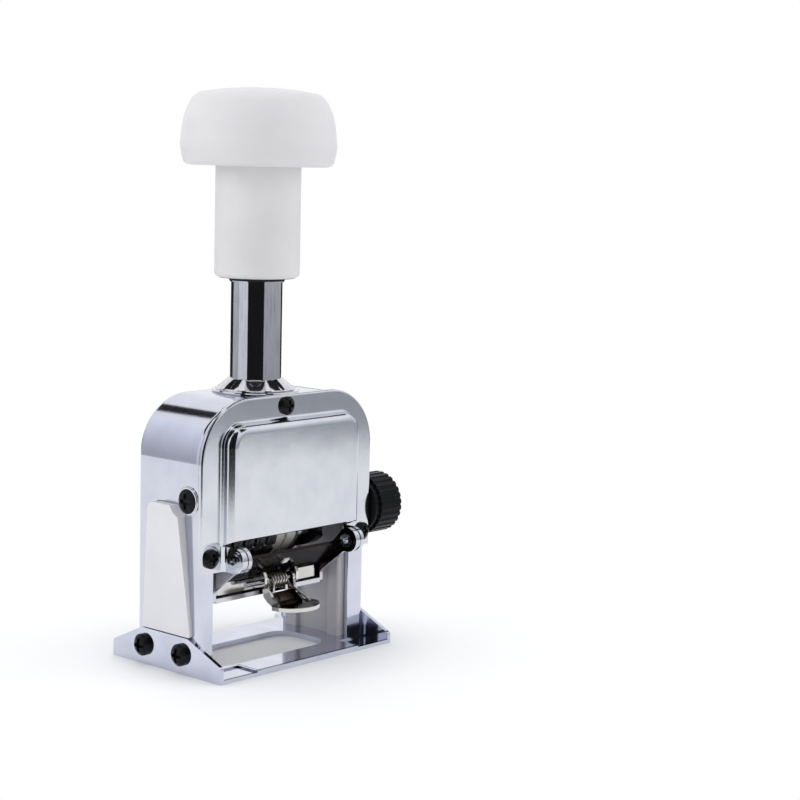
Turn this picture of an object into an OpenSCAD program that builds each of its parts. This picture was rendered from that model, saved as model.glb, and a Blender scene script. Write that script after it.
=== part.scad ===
// Automatic numbering machine with a mushroom knob, a self-inking pad and a repeat selector.
// X runs to the right, Y to the back, Z up. The origin is the middle of the base's underside.
// Every piece is drawn at rest: knob up, pad under the number wheels, latch closed.

/* [Base] */
// Depth of the base plate, front to back
base_d = 38; // [37:0.5:42]
// Thickness of the base plate
plate_t = 1.3; // [1:0.1:1.6]
// Thickness of the side flanges
flange_t = 1; // [0.8:0.1:1.4]
// Height of the side flanges
flange_h = 8.8; // [8:0.1:9.6]
// Height of the side flanges at their ends
flange_end_h = 4; // [3:0.25:5]
// Length of the flanges' level top edge
flange_top_len = 16.2; // [15:0.2:18]
// Distance that the right flange's ends are lower than the left one's
flange_drop = 1.4; // [0:0.1:1.8]
// Width of the printing window
window_w = 37.6; // [33:0.4:39]
// Depth of the printing window
window_d = 17; // [15:0.25:18]
// Corner radius of the printing window
window_r = 5; // [2:0.5:6]
// Distance from the window's middle to the machine's middle, sideways
window_x = -3.5; // [-4.5:0.25:-1.5]
// Distance from the window's middle to the machine's middle, front to back
window_y = -2.7; // [-3.2:0.1:-2]
// Depth that the rear edge is cut in between the flanges
rear_cut_d = 3.8; // [2:0.2:5]
// Width of the coined strip that the front edge carries
coined_w = 34.4; // [30:0.4:38]
// Height of the coined strip above the front corners
coined_h = 0.4; // [0.2:0.05:0.6]

/* [Housing] */
// Width over the housing's walls
body_w = 56; // [55:0.5:62]
// Height of the housing's top
body_top = 64; // [63:0.5:70]
// Distance from the middle to the housing's front edge
body_front = 10.4; // [10.2:0.1:11]
// Distance from the middle to the housing's rear edge
body_back = 11.6; // [11.2:0.1:12.4]
// Sheet thickness of the housing
wall_t = 1; // [0.8:0.1:1.2]
// Radius of the housing's two upper corners
corner_r = 14; // [11:0.5:16]
// Width of the lips that are folded in along the front edge
lip_w = 4.3; // [4:0.1:5]
// Width of the right-hand front lip below the cover
right_lip_w = 5.9; // [5.2:0.1:6.2]
// Width of the lips along the rear edge
rear_lip_w = 6.6; // [6:0.1:7]
// Outer radius of the folds
fold_r = 1.5; // [1.3:0.1:2]

/* [Covers] */
// Sheet thickness of the front and rear covers
cover_t = 1; // [0.8:0.1:1.2]
// Distance that the front cover stands past the housing all round
cover_lap = 0.55; // [0.3:0.05:0.8]
// Distance that the rear cover stays inside the housing all round
rear_inset = 2.1; // [1.8:0.1:2.4]
// Height of the covers' lower edge
cover_z = 24.4; // [23.5:0.1:25]
// Radius of the covers' rounded outer edge
cover_edge_r = 0.6; // [0.3:0.1:0.8]
// Distance from the covers' side edges to the raised panels
panel_in = 5.75; // [5.2:0.05:6.5]
// Distance from the covers' top edge to the raised panels
panel_drop = 5; // [4.6:0.2:6]
// Height of the raised panels above the covers
panel_h = 3; // [2.6:0.1:3.6]
// Corner radius of the raised panels
panel_r = 6; // [5:0.25:8]
// Radius of the fold at the foot of the raised panels
panel_foot_r = 0.8; // [0.4:0.1:1]
// Height of the front panel's open lower edge
panel_z = 31.8; // [31.4:0.1:33]
// Distance from the front cover to the ink carrier's pivot
ear_reach = 3.8; // [3.4:0.1:4.4]
// Radius of the ears' round ends
ear_r = 3; // [2.7:0.1:3.2]
// Inner radius of the fold that joins an ear to the cover
ear_fold_r = 1.2; // [0.8:0.1:1.6]

/* [Guide inserts] */
// Thickness of the inserts behind the walls
guide_t = 5.6; // [5:0.1:6.2]
// Height of the rails at the sides of the inserts' grooves
rail_h = 1.2; // [0.8:0.1:1.6]
// Height of the inserts' top
guide_top = 50; // [46:0.5:52]
// Distance that the inserts' pads stand proud of the walls at the top
boss_h = 2.4; // [1.8:0.1:3]
// Distance that the pads stand proud at the foot
boss_foot_h = 0.8; // [0.5:0.1:1.2]
// Width of the pads at the foot
boss_foot_w = 16.8; // [15:0.2:17.2]
// Width of the pads at the top
boss_top_w = 10.1; // [9:0.1:10.6]
// Height of the pads' top
boss_top = 39.9; // [38:0.1:40.4]
// Corner radius of the pads
boss_r = 2.2; // [1:0.1:3]

/* [Handle] */
// Distance from the machine's middle back to the handle's axis
handle_y = 1; // [0.4:0.1:1.4]
// Outer radius of the barrel
barrel_r = 6.2; // [5.9:0.1:6.5]
// Wall thickness of the barrel
barrel_wall = 1; // [0.8:0.1:1.2]
// Height of the barrel's top
barrel_top = 99; // [97:0.5:101]
// Radius of the flange at the barrel's foot
flange_r = 10.6; // [9.8:0.1:11]
// Height of the flange's cone
cone_h = 3.4; // [2.8:0.1:4]
// Radius of the plunger's rod
rod_r = 2.5; // [2.2:0.1:2.7]
// Outer radius of the handle's sleeve
sleeve_r = 10.3; // [9.8:0.1:10.8]
// Length of the handle's sleeve below the knob
sleeve_len = 26.6; // [25:0.2:28]
// Radius of the knob
knob_r = 18.6; // [17:0.2:21]
// Height of the knob
knob_h = 18.6; // [17:0.2:20]

/* [Number wheels] */
// Height of the wheel shaft above the paper
wheel_z = 33; // [32.6:0.1:33.6]
// Distance from the machine's middle forward to the wheel shaft
wheel_front = 1; // [0.6:0.1:1.4]
// Radius over the type of the number wheels
type_r = 10.3; // [10:0.1:10.5]
// Height of the type
type_h = 1.1; // [0.7:0.1:1.3]
// Radius of the wheels' ratchets
ratchet_r = 7.6; // [7:0.1:7.8]
// Width of the wheels' ratchets
ratchet_w = 0.6; // [0.5:0.05:0.8]
// Distance from one number wheel to the next
wheel_pitch = 3.75; // [3.5:0.05:3.9]
// Gap between two wheels
wheel_gap = 0.15; // [0.1:0.05:0.25]
// Radius of the wheel shaft
shaft_r = 2; // [1.8:0.05:2.2]
// Radius of the repeat ratchet and cams
repeat_r = 8.4; // [7.6:0.1:8.5]

/* [Carriage] */
// Sheet thickness of the carriage
side_t = 1; // [0.8:0.1:1.1]
// Distance from the housing's top down to the carriage's top
yoke_drop = 8.8; // [8.4:0.2:11]
// Thickness of the carriage's top
yoke_t = 1.2; // [1:0.1:1.5]
// Reach of the carriage's sides in front of the wheel shaft
side_front = 3.6; // [3.2:0.1:4]
// Reach of the carriage's sides behind the wheel shaft
side_back = 6.4; // [5.8:0.1:6.8]

/* [Ink carrier] */
// Height of the ink carrier's pivot
pivot_z = 27.4; // [27.2:0.1:27.8]
// Thickness of the ink carrier's arms
arm_t = 1; // [0.8:0.1:1.2]
// Distance that the right arm stands further in than the left one
arm_shift = 2.1; // [1.6:0.1:2.4]
// Height from the carrier's underside to the top of the pad
pan_h = 7; // [6.8:0.1:7.4]
// Distance from the wheel shaft back to the carrier's rear edge
pan_back = 7.5; // [7:0.1:7.6]
// Distance from the wheel shaft forward to the carrier's front edge
pan_front = 5; // [4.6:0.1:5.2]
// Sheet thickness of the ink tray
tray_t = 0.7; // [0.6:0.1:0.9]
// Height of the ink tray's walls
tray_h = 3.4; // [3.2:0.1:3.8]
// Gap between the pad and the type
pad_gap = 0.4; // [0.3:0.05:0.6]

/* [Latch] */
// Width between the lugs that carry the latch
lug_w = 9.8; // [9:0.1:11]
// Thickness of the lugs and of the latch
latch_t = 0.8; // [0.6:0.1:0.9]
// Radius of the latch's pin
latch_pin_r = 0.7; // [0.6:0.05:0.8]
// Width of the thumb tab
tab_w = 13.8; // [13:0.2:15]
// Depth of the thumb tab's round part
tab_d = 6.5; // [6:0.1:7]
// Number of turns in the latch's spring
latch_turns = 5; // [3:1:6]

/* [Repeat selector] */
// Radius of the selector's knob
selector_r = 7.65; // [7:0.05:8]
// Length of the selector's knob
selector_len = 9.2; // [8:0.1:11]
// Height of the selector's axis
selector_z = 33.6; // [33:0.1:34.5]
// Distance from the machine's middle forward to the selector's axis
selector_front = 6.4; // [6.2:0.05:6.6]
// Radius of the selector's shaft
selector_shaft_r = 1.5; // [1.3:0.05:1.7]
// Number of flutes round the selector's knob
flutes = 28; // [20:1:32]

/* [Screws] */
// Head radius of the base screws
base_head_r = 2.65; // [2.4:0.05:2.8]
// Shank radius of the base screws
base_shank_r = 1.5; // [1.3:0.05:1.6]
// Head radius of the cover screws
cover_head_r = 2.25; // [2:0.05:2.4]
// Shank radius of the cover screws
cover_shank_r = 1.2; // [1:0.05:1.3]
// Distance from the middle to the front cover's top screw
top_screw_x = -1.6; // [-2:0.1:0]

/* [Hidden] */
$fn = 72;
tiny = 0.01;          // overlap that joins two solids of one piece
fit = 0.05;           // radial clearance of a running fit
slide_gap = 0.35;     // clearance of a sliding face
swing_gap = 0.4;      // clearance beside a swinging piece
arc_steps = 6;        // straight steps in a rounded corner of an outline

// --- Places across the machine, from the wall inwards ---
half_w = body_w / 2;
wall_in = half_w - wall_t;
guide_x = wall_in - guide_t;
rail_x = guide_x - rail_h;
side_out = guide_x - slide_gap;
side_in = side_out - side_t;
arm_out = side_in - swing_gap;
arm_in = arm_out - arm_t;
set_end = arm_in - slide_gap;
wheel_count = 6;
wheel_w = wheel_pitch - wheel_gap;
wheels_end = wheel_count * wheel_pitch - set_end;
spacer_x = wheels_end + 0.1;
spacer_w = 1.1;
repeat_x = spacer_x + spacer_w + 1.4;
repeat_count = 3;
repeat_pitch = (set_end - arm_shift - repeat_x) / repeat_count;
repeat_gap = 0.3;
ear_in = arm_out + 0.85;
ear_out = ear_in + cover_t;

// --- Heights ---
wheel_y = -wheel_front;
yoke_top = body_top - yoke_drop;
stroke = wheel_z - type_r;
pad_top = wheel_z - type_r - pad_gap;
pan_z = pad_top - pan_h;
strap_t = 1.1;
tray_z = pan_z + strap_t;
cone_z = body_top + cone_h;
stop_gap = 1.65;
sleeve_z = cone_z + stroke + stop_gap;
knob_z = sleeve_z + sleeve_len;
knob_top = knob_z + knob_h;

// --- Places front to back ---
front_y = -body_front;
back_y = body_back;
cover_front = front_y - cover_t;
cover_back = back_y + cover_t;
cover_top = body_top + cover_lap;
panel_crest_r = panel_h - panel_foot_r;
pivot_y = cover_front - ear_reach;
ear_top = pivot_z + ear_r;
pan_y0 = wheel_y - pan_front;
pan_y1 = wheel_y + pan_back;
flange_x = half_w;
base_half = half_w + flange_t;

// --- Cover screws ---
cover_screw_x = half_w + cover_lap - panel_in / 2 - 0.1;
cover_screw_z = cover_z + 3.5;
top_screw_z = cover_top - panel_drop / 2 - 0.2;
rear_screw_x = half_w - rear_inset - panel_in / 2;
rear_top_screw_z = body_top - rear_inset - panel_drop / 2;
cover_head_h = 1.4;
cover_screw_len = 2.4;

// --- Base screws and the wall screw ---
base_screw_y = 6.6;
base_screw_mid = 1.2;
base_screw_z = 4.7;
base_head_h = 2;
base_screw_len = 6;
wall_screw_y = -6.4;
wall_screw_z = 41.1;
wall_head_r = 2.9;
wall_head_h = 1.3;
wall_screw_len = 5;
cup_r = 3.5;
cup_h = 0.5;

// --- Latch ---
latch_y = wheel_y - 6.9;
latch_z = tray_z + 2.5;

// ---------- Outlines ----------

function unit(v) = v / norm(v);

// The points of one rounded corner at b, between its neighbours a and c
function corner(a, b, c, r) =
  let (
    u = unit(a - b),
    v = unit(c - b),
    half = acos(u * v) / 2,
    middle = b + unit(u + v) * r / sin(half),
    s = b + u * r / tan(half) - middle,
    e = b + v * r / tan(half) - middle,
    a0 = atan2(s[1], s[0]),
    turn = (atan2(e[1], e[0]) - a0 + 540) % 360 - 180
  )
  r <= 0 ? [b] :
  [for (i = [0:arc_steps]) middle + r * [cos(a0 + turn * i / arc_steps), sin(a0 + turn * i / arc_steps)]];

// A closed outline whose corner i is rounded with radii[i]
function rounded(points, radii) =
  let (n = len(points))
  [for (i = [0:n - 1]) each corner(points[(i + n - 1) % n], points[i], points[(i + 1) % n], radii[i])];

function arc(r, a0, a1, steps) = [for (i = [0:steps]) r * [cos(a0 + (a1 - a0) * i / steps), sin(a0 + (a1 - a0) * i / steps)]];

// A toothed disc: each tooth rises slowly and drops steeply
function ratchet_points(r, depth, teeth) =
  [for (i = [0:teeth - 1]) for (k = [0:1])
    let (a = 360 * (i + k * 0.92) / teeth, q = k == 0 ? r - depth : r) q * [cos(a), sin(a)]];

// ---------- General solids ----------

// A plate along X from x0, drawn as an outline in Y and Z
module across(x0, t) {
  translate([x0, 0, 0]) rotate([90, 0, 90]) linear_extrude(t) children();
}

// A plate along Y from y0, drawn as an outline in X and Z
module frontal(y0, t) {
  translate([0, y0 + t, 0]) rotate([90, 0, 0]) linear_extrude(t) children();
}

// A solid of revolution about an axis along X through y and z
module about_x(x0, y, z) {
  translate([x0, y, z]) rotate([0, 90, 0]) children();
}

module rod_x(x0, x1, y, z, r) {
  about_x(x0, y, z) cylinder(h = x1 - x0, r = r);
}

module both_sides() {
  children();
  mirror([1, 0, 0]) children();
}

// The ink carrier's two sides: the right one stands further in
module arm_sides() {
  translate([-arm_shift, 0, 0]) children();
  mirror([1, 0, 0]) children();
}

// A plate with two round upper corners, from z0 up to top
module arch(half, top, r, z0, y0, t) {
  translate([-half, y0, z0]) cube([2 * half, t, top - r - z0]);
  translate([r - half, y0, z0]) cube([2 * (half - r), t, top - z0]);
  both_sides() translate([half - r, y0 + t, top - r]) rotate([90, 0, 0]) cylinder(h = t, r = r);
}

// Sweeps a profile up one side, over the top and down the other.
// The profile's x is the distance in from the outer face and its y is the machine's Y.
module sweep_arch(half, top, r, z0) {
  both_sides() {
    translate([-half, 0, z0]) linear_extrude(top - r - z0) children();
    translate([half - r, 0, top - r]) rotate([-90, 0, 0]) rotate([0, 0, -90])
      rotate_extrude(angle = 90) translate([r, 0]) mirror([1, 0]) children();
  }
  translate([r - half, 0, top]) rotate([90, 0, 90]) linear_extrude(2 * (half - r))
    rotate(-90) children();
}

// Quarter of a ring, in the quadrant that sx and sy point to
module quarter_ring(r0, r1, sx, sy) {
  intersection() {
    difference() {
      circle(r = r1);
      circle(r = r0);
    }
    translate([sx > 0 ? 0 : -r1, sy > 0 ? 0 : -r1]) square(r1);
  }
}

// A pan-head screw along Z: the head's seat is at z = 0 and the shank runs down
module pan_screw(head_r, head_h, shank_r, shank_len) {
  dome = head_h * 0.6;
  crown_r = (head_r * head_r + dome * dome) / (2 * dome);
  slot_w = head_r * 0.34;
  slot_l = head_r * 1.25;
  difference() {
    rotate_extrude() intersection() {
      square([head_r, head_h]);
      translate([0, head_h - crown_r]) circle(r = crown_r, $fn = 180);
    }
    for (a = [0, 90]) rotate(a) translate([-slot_l / 2, -slot_w / 2, head_h * 0.4]) cube([slot_l, slot_w, head_h]);
  }
  translate([0, 0, -shank_len]) cylinder(h = shank_len + tiny, r = shank_r);
}

module hex_nut(across_corners_r, hole_r, h) {
  difference() {
    cylinder(h = h, r = across_corners_r, $fn = 6);
    translate([0, 0, -tiny]) cylinder(h = h + 2 * tiny, r = hole_r);
  }
}

// A round wire along a list of points, as one closed surface
module wire(points, r, sides) {
  n = len(points);
  rings = [for (i = [0:n - 1])
    let (
      t = unit(points[min(i + 1, n - 1)] - points[max(i - 1, 0)]),
      side = abs(t[0]) > 0.9 ? [0, 1, 0] : [1, 0, 0],
      u = unit(cross(t, side)),
      v = cross(t, u)
    )
    for (k = [0:sides - 1]) points[i] + r * (cos(360 * k / sides) * u + sin(360 * k / sides) * v)];
  polyhedron(
    points = rings,
    faces = concat(
      [[for (k = [0:sides - 1]) k]],
      [for (i = [0:n - 2]) for (k = [0:sides - 1])
        let (a = i * sides + k, b = i * sides + (k + 1) % sides) [a, a + sides, b + sides, b]],
      [[for (k = [sides - 1:-1:0]) (n - 1) * sides + k]]
    ),
    convexity = 10
  );
}

// ---------- Base ----------

// A side flange's outline, with its ends lower by drop
function flange_outline(drop) =
  let (mid = base_screw_mid - 0.6, half = flange_top_len / 2 - 1.6 * drop, end_h = flange_end_h - drop)
  rounded(
    [
      [-base_d / 2, 0], [base_d / 2, 0], [base_d / 2, end_h], [mid + half, flange_h], [mid - half, flange_h],
      [-base_d / 2, end_h]
    ],
    [0.3, 0.3, 1, 1, 1, 1]
  );

module base_screw_places() {
  both_sides() for (s = [-1, 1])
    translate([base_half, base_screw_mid + s * base_screw_y, base_screw_z]) rotate([0, 90, 0]) children();
}

module base_plate() {
  scribe_w = 0.3;
  scribe_d = 0.15;
  strip_d = base_d / 2 + window_y - window_d / 2;
  color("silver") difference() {
    union() {
      translate([-base_half, -base_d / 2, 0]) cube([2 * base_half, base_d, plate_t]);
      across(flange_x, flange_t) polygon(flange_outline(flange_drop));
      across(-base_half, flange_t) polygon(flange_outline(0));
    }
    // The printing window
    translate([window_x, window_y, -tiny]) linear_extrude(plate_t + 2 * tiny)
      polygon(rounded(
        [
          [-window_w / 2, -window_d / 2], [window_w / 2, -window_d / 2],
          [window_w / 2, window_d / 2], [-window_w / 2, window_d / 2]
        ],
        [window_r, window_r, window_r, window_r]
      ));
    // The rear edge between the flanges
    translate([0, base_d / 2, -tiny]) linear_extrude(plate_t + 2 * tiny)
      polygon(rounded(
        [
          [2 - flange_x, 1], [4 - flange_x, -rear_cut_d],
          [flange_x - 4, -rear_cut_d], [flange_x - 2, 1]
        ],
        [0, 1.5, 1.5, 0]
      ));
    // The front corners lie lower than the coined strip between them
    both_sides() translate([coined_w / 2, -base_d / 2 - tiny, plate_t - coined_h])
      cube([flange_x - coined_w / 2, strip_d - 1, coined_h + tiny]);
    // The line that shows where the first digit prints
    translate([-coined_w / 2 + 0.6, -base_d / 2 - tiny, plate_t - scribe_d])
      cube([scribe_w, strip_d + 1, scribe_d + tiny]);
    base_screw_places() translate([0, 0, -flange_t - 1]) cylinder(h = flange_t + 2, r = base_shank_r + fit);
  }
}

module base_screws() {
  color("#333335") base_screw_places() pan_screw(base_head_r, base_head_h, base_shank_r, base_screw_len);
}

// ---------- Housing ----------

boss_z = flange_h + 0.2;

// The pads' outline in Y and Z, grown by g
module boss_outline(g) {
  mid = 0.2;
  polygon(rounded(
    [
      [mid - boss_foot_w / 2 - g, boss_z - g], [mid + boss_foot_w / 2 + g, boss_z - g],
      [mid + boss_top_w / 2 + g, boss_top + g], [mid - boss_top_w / 2 - g, boss_top + g]
    ],
    [0.6, 0.6, boss_r, boss_r]
  ));
}

// The folded sheet: outer wall with a lip along each edge
module channel_profile() {
  depth = body_front + body_back;
  fold_in = fold_r - wall_t;
  translate([0, front_y]) difference() {
    union() {
      translate([fold_r, 0]) square([lip_w - fold_r, fold_r]);
      translate([fold_r, depth - fold_r]) square([rear_lip_w - fold_r, fold_r]);
      translate([0, fold_r]) square([fold_r + tiny, depth - 2 * fold_r]);
      translate([fold_r, fold_r]) circle(r = fold_r);
      translate([fold_r, depth - fold_r]) circle(r = fold_r);
    }
    translate([wall_t, fold_r]) square([lip_w, depth - 2 * fold_r]);
    translate([fold_r, wall_t]) square([rear_lip_w, depth - 2 * wall_t]);
    translate([fold_r, fold_r]) circle(r = fold_in);
    translate([fold_r, depth - fold_r]) circle(r = fold_in);
  }
}

// Three screw places on a face at y: the lower pair at x, and one at top
module cover_screw_places(y, x, top) {
  for (p = [[-x, cover_screw_z], [x, cover_screw_z], top])
    translate([p[0], y, p[1]]) rotate([90, 0, 0]) children();
}

module front_screw_places(y) {
  cover_screw_places(y, cover_screw_x, [top_screw_x, top_screw_z]) children();
}

module rear_screw_places(y) {
  cover_screw_places(y, rear_screw_x, [0, rear_top_screw_z]) children();
}

module housing() {
  color("gainsboro") difference() {
    union() {
      sweep_arch(half_w, body_top, corner_r, plate_t) channel_profile();
      // The right-hand lip is wider below the cover
      translate([half_w - right_lip_w, front_y, plate_t])
        cube([right_lip_w - lip_w + 1, wall_t, cover_screw_z + 0.5 - plate_t]);
    }
    both_sides() across(wall_in - 1, wall_t + 2) boss_outline(0.2);
    translate([0, handle_y, body_top - wall_t - 1]) cylinder(h = wall_t + 2, r = barrel_r + fit);
    base_screw_places() translate([0, 0, -flange_t - wall_t - 1])
      cylinder(h = wall_t + 1.5, r = base_shank_r + fit);
    rod_x(-half_w - 1, 1 - wall_in, wall_screw_y, wall_screw_z, base_shank_r + fit);
    rod_x(wall_in - 1, half_w + 1, -selector_front, selector_z, selector_sleeve_r + fit);
    front_screw_places(front_y) translate([0, 0, -wall_t - 1]) cylinder(h = wall_t + 2, r = cover_shank_r + fit);
    rear_screw_places(back_y) translate([0, 0, -1]) cylinder(h = wall_t + 2, r = cover_shank_r + fit);
  }
}

// ---------- Covers ----------

// The stamped step between a cover and its raised panel
module panel_step() {
  translate([0, -panel_foot_r]) quarter_ring(panel_foot_r, panel_foot_r + cover_t, 1, 1);
  translate([panel_h, -panel_foot_r]) quarter_ring(panel_crest_r - cover_t, panel_crest_r, -1, -1);
}

// The covers' rim, with its outer front edge rounded
module rim_profile(w) {
  difference() {
    square([w, cover_t]);
    square(cover_edge_r);
  }
  translate([cover_edge_r, cover_edge_r]) quarter_ring(0, cover_edge_r, -1, -1);
}

// A stamped cover with its outer face at y = 0 and the raised panel in front of it
module stamped_cover(lap, panel_foot) {
  rim_w = 2;
  half = half_w + lap;
  top = body_top + lap;
  r = corner_r + lap;
  panel_half = half - panel_in;
  panel_top = top - panel_drop;
  difference() {
    union() {
      arch(half - rim_w, top - rim_w, r - rim_w, cover_z, 0, cover_t);
      sweep_arch(half, top, r, cover_z) rim_profile(rim_w + tiny);
    }
    arch(panel_half, panel_top, panel_r, panel_foot, -1, cover_t + 2);
  }
  sweep_arch(panel_half, panel_top, panel_r, panel_foot) panel_step();
  arch(panel_half - panel_h, panel_top - panel_h, panel_r - panel_h, panel_foot, -panel_h, cover_t);
}

module front_cover() {
  fold_out = ear_fold_r + cover_t;
  notch_half = ear_out + ear_fold_r;
  color("gainsboro") difference() {
    union() {
      translate([0, cover_front, 0]) difference() {
        stamped_cover(cover_lap, ear_top);
        translate([-notch_half, -1, cover_z - 1])
          cube([2 * notch_half - arm_shift, cover_t + 2, ear_top - cover_z + 1]);
        // The panel's lower edge slopes up to the front
        across(-half_w, body_w) polygon([
          [0, ear_top - 1], [0, ear_top], [-panel_h, panel_z], [-panel_h - 1, panel_z], [-panel_h - 1, ear_top - 1]
        ]);
      }
      arm_sides() {
        // The fold between the cover and its ear
        translate([notch_half, cover_front - ear_fold_r, pivot_z - ear_r]) linear_extrude(2 * ear_r)
          quarter_ring(ear_fold_r, fold_out, -1, 1);
        translate([ear_in, pivot_y, pivot_z - ear_r])
          cube([cover_t, cover_front - ear_fold_r - pivot_y, 2 * ear_r]);
        rod_x(ear_in, ear_out, pivot_y, pivot_z, ear_r);
      }
    }
    arm_sides() rod_x(ear_in - 1, ear_out + 1, pivot_y, pivot_z, eyelet_r + fit);
    front_screw_places(cover_front) translate([0, 0, -cover_t - 1]) cylinder(h = cover_t + 2, r = cover_shank_r + fit);
  }
}

// The rear cover lies on the lips, inside the housing's folds
module rear_cover() {
  color("gainsboro") difference() {
    mirror([0, 1, 0]) translate([0, -cover_back, 0]) stamped_cover(-rear_inset, cover_z);
    rear_screw_places(back_y) translate([0, 0, -cover_t - 1]) cylinder(h = cover_t + 2, r = cover_shank_r + fit);
  }
}

module cover_screw() {
  pan_screw(cover_head_r, cover_head_h, cover_shank_r, cover_screw_len);
}

module front_cover_screws() {
  color("#333335") front_screw_places(cover_front) cover_screw();
}

module rear_cover_screws() {
  color("#333335") mirror([0, 1, 0]) rear_screw_places(-cover_back) cover_screw();
}

// ---------- Guide inserts ----------

groove_front = wheel_y - side_front - slide_gap;
groove_back = wheel_y + side_back + slide_gap;
guide_front = front_y + wall_t + 0.5;
guide_back = back_y - wall_t - 0.5;

// The right-hand insert: a pad through the wall, and a block with a groove for the carriage
module guide_insert() {
  difference() {
    across(wall_in - tiny, wall_t + boss_h + tiny) boss_outline(0);
    // The pad's face leans out towards the top
    frontal(-base_d / 2, base_d) polygon([
      [half_w + boss_foot_h, boss_z - tiny], [half_w + boss_h, boss_top + tiny],
      [half_w + boss_h + 1, boss_top + tiny], [half_w + boss_h + 1, boss_z - tiny]
    ]);
  }
  difference() {
    translate([0, 0, plate_t]) linear_extrude(guide_top - plate_t) polygon(rounded(
      [
        [wall_in, guide_front], [wall_in, guide_back], [rail_x, guide_back], [rail_x, groove_back],
        [guide_x, groove_back], [guide_x, groove_front], [rail_x, groove_front], [rail_x, guide_front]
      ],
      [0, 0, 0.8, 0.4, 0.3, 0.3, 0.4, 0.8]
    ));
    base_screw_places() translate([0, 0, -base_screw_len - flange_t])
      cylinder(h = base_screw_len + flange_t, r = base_shank_r + fit);
  }
}

module guide_insert_left() {
  notch_r = cup_r + cup_h / 2 + 0.25;
  chamfer_x = 2.8;
  chamfer_y = 2.4;
  lean = chamfer_y / chamfer_x;
  color("#dadad9") difference() {
    mirror([1, 0, 0]) guide_insert();
    rod_x(-half_w - boss_h - 1, -half_w, wall_screw_y, wall_screw_z, notch_r);
    // The rail's front corner is cut back below the cover
    translate([0, 0, plate_t - 1]) linear_extrude(cover_z - plate_t + 1) polygon([
      [1 - rail_x, guide_front + chamfer_y + lean], [1 - rail_x, guide_front - 1],
      [-rail_x - chamfer_x - 1 / lean, guide_front - 1]
    ]);
    rod_x(-wall_in - 1, -wall_in + wall_screw_len, wall_screw_y, wall_screw_z, base_shank_r + fit);
  }
}

module guide_insert_right() {
  color("#dadad9") difference() {
    guide_insert();
    rod_x(rail_x - 1, wall_in + 1, -selector_front, selector_z, selector_shaft_r + fit);
    rod_x(wall_in - selector_sleeve_in, wall_in + 1, -selector_front, selector_z, selector_sleeve_r + fit);
    rod_x(half_w, half_w + boss_h + 1, -selector_front, selector_z, selector_r + swing_gap);
  }
}

module wall_screw() {
  color("#333335") translate([-half_w - fit, wall_screw_y, wall_screw_z]) rotate([0, -90, 0])
    pan_screw(wall_head_r, wall_head_h, base_shank_r, wall_screw_len);
}

module wall_screw_cup() {
  color("silver") translate([-half_w, wall_screw_y, wall_screw_z]) rotate([0, -90, 0]) rotate_extrude() difference() {
    translate([wall_head_r + fit, 0]) square([cup_r - wall_head_r - fit, cup_h]);
    translate([cup_r, cup_h]) circle(r = cup_h / 2);
  }
}

// ---------- Barrel ----------

barrel_z = yoke_top + 3.8;
barrel_floor = 1.6;
nut_h = 2.8;

module barrel() {
  bore_r = barrel_r - barrel_wall;
  color("silver") translate([0, handle_y, 0]) difference() {
    translate([0, 0, barrel_z]) cylinder(h = barrel_top - barrel_z, r = barrel_r);
    translate([0, 0, barrel_z + barrel_floor]) cylinder(h = barrel_top - barrel_z, r = bore_r);
    translate([0, 0, barrel_z - 1]) cylinder(h = barrel_floor + 2, r = rod_r + fit);
  }
}

// The trumpet-shaped flange, turned in one piece with two rims
module barrel_flange() {
  disc_h = 0.6;
  ring_h = 0.5;
  neck_r = barrel_r + 0.35;
  bell_r = flange_r - 0.9;
  bell_h = cone_h - disc_h - ring_h;
  color("silver") translate([0, handle_y, body_top]) rotate_extrude() difference() {
    union() {
      translate([barrel_r + fit, 0]) square([flange_r - barrel_r - fit, disc_h]);
      translate([barrel_r + fit, 0]) square([bell_r - barrel_r - fit, disc_h + ring_h]);
      difference() {
        translate([barrel_r + fit, disc_h]) square([bell_r - barrel_r - fit, bell_h + ring_h]);
        translate([neck_r + bell_h, disc_h + ring_h + bell_h]) circle(r = bell_h);
        translate([neck_r + bell_h, disc_h + ring_h]) square([flange_r, bell_h + 1]);
      }
    }
    translate([flange_r + 0.12, disc_h + 0.12]) circle(r = 0.3);
  }
}

module barrel_nut() {
  nut_r = barrel_r + 2.6;
  color("silver") translate([0, handle_y, body_top - wall_t - nut_h]) hex_nut(nut_r, barrel_r + fit, nut_h);
}

// ---------- Handle and plunger ----------

socket_h = 5.7;
socket_r = sleeve_r - 1;
insert_h = 6;
insert_r = 4;
rod_end = knob_z + socket_h + insert_h;
rod_nut_r = rod_r + 2;
rod_nut_h = 2;
rod_z = yoke_top - 4.7;

// The knob's outline: a shallow crown, a round shoulder, a flank that leans out, and a rolled lower edge
module knob_cap() {
  crown_r = 80;
  crown_a = 8.2;
  shoulder_r = knob_r * 0.835;
  shoulder_drop = 1.5;
  flank_r = knob_r * 0.97;
  crown = [for (i = [0:5]) [crown_r * sin(crown_a * i / 5), knob_h - crown_r * (1 - cos(crown_a * i / 5))]];
  corners = [
    crown[5], [shoulder_r, knob_h - shoulder_drop], [flank_r, knob_h * 0.64],
    [knob_r + 0.3, knob_h * 0.26], [knob_r - 0.7, 0], [0, 0]
  ];
  radii = [0, 4.4, 14, 7, 1.9, 0];
  outline = concat(crown, [for (i = [1:4]) each corner(corners[i - 1], corners[i], corners[i + 1], radii[i])], [[0, 0]]);
  color("#e2e2e2") translate([0, handle_y, knob_z]) difference() {
    rotate_extrude() polygon(outline);
    translate([0, 0, -1]) cylinder(h = socket_h + 1 + fit, r = socket_r + fit);
    translate([0, 0, socket_h - tiny]) cylinder(h = insert_h + fit, r = insert_r + fit);
  }
}

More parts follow.
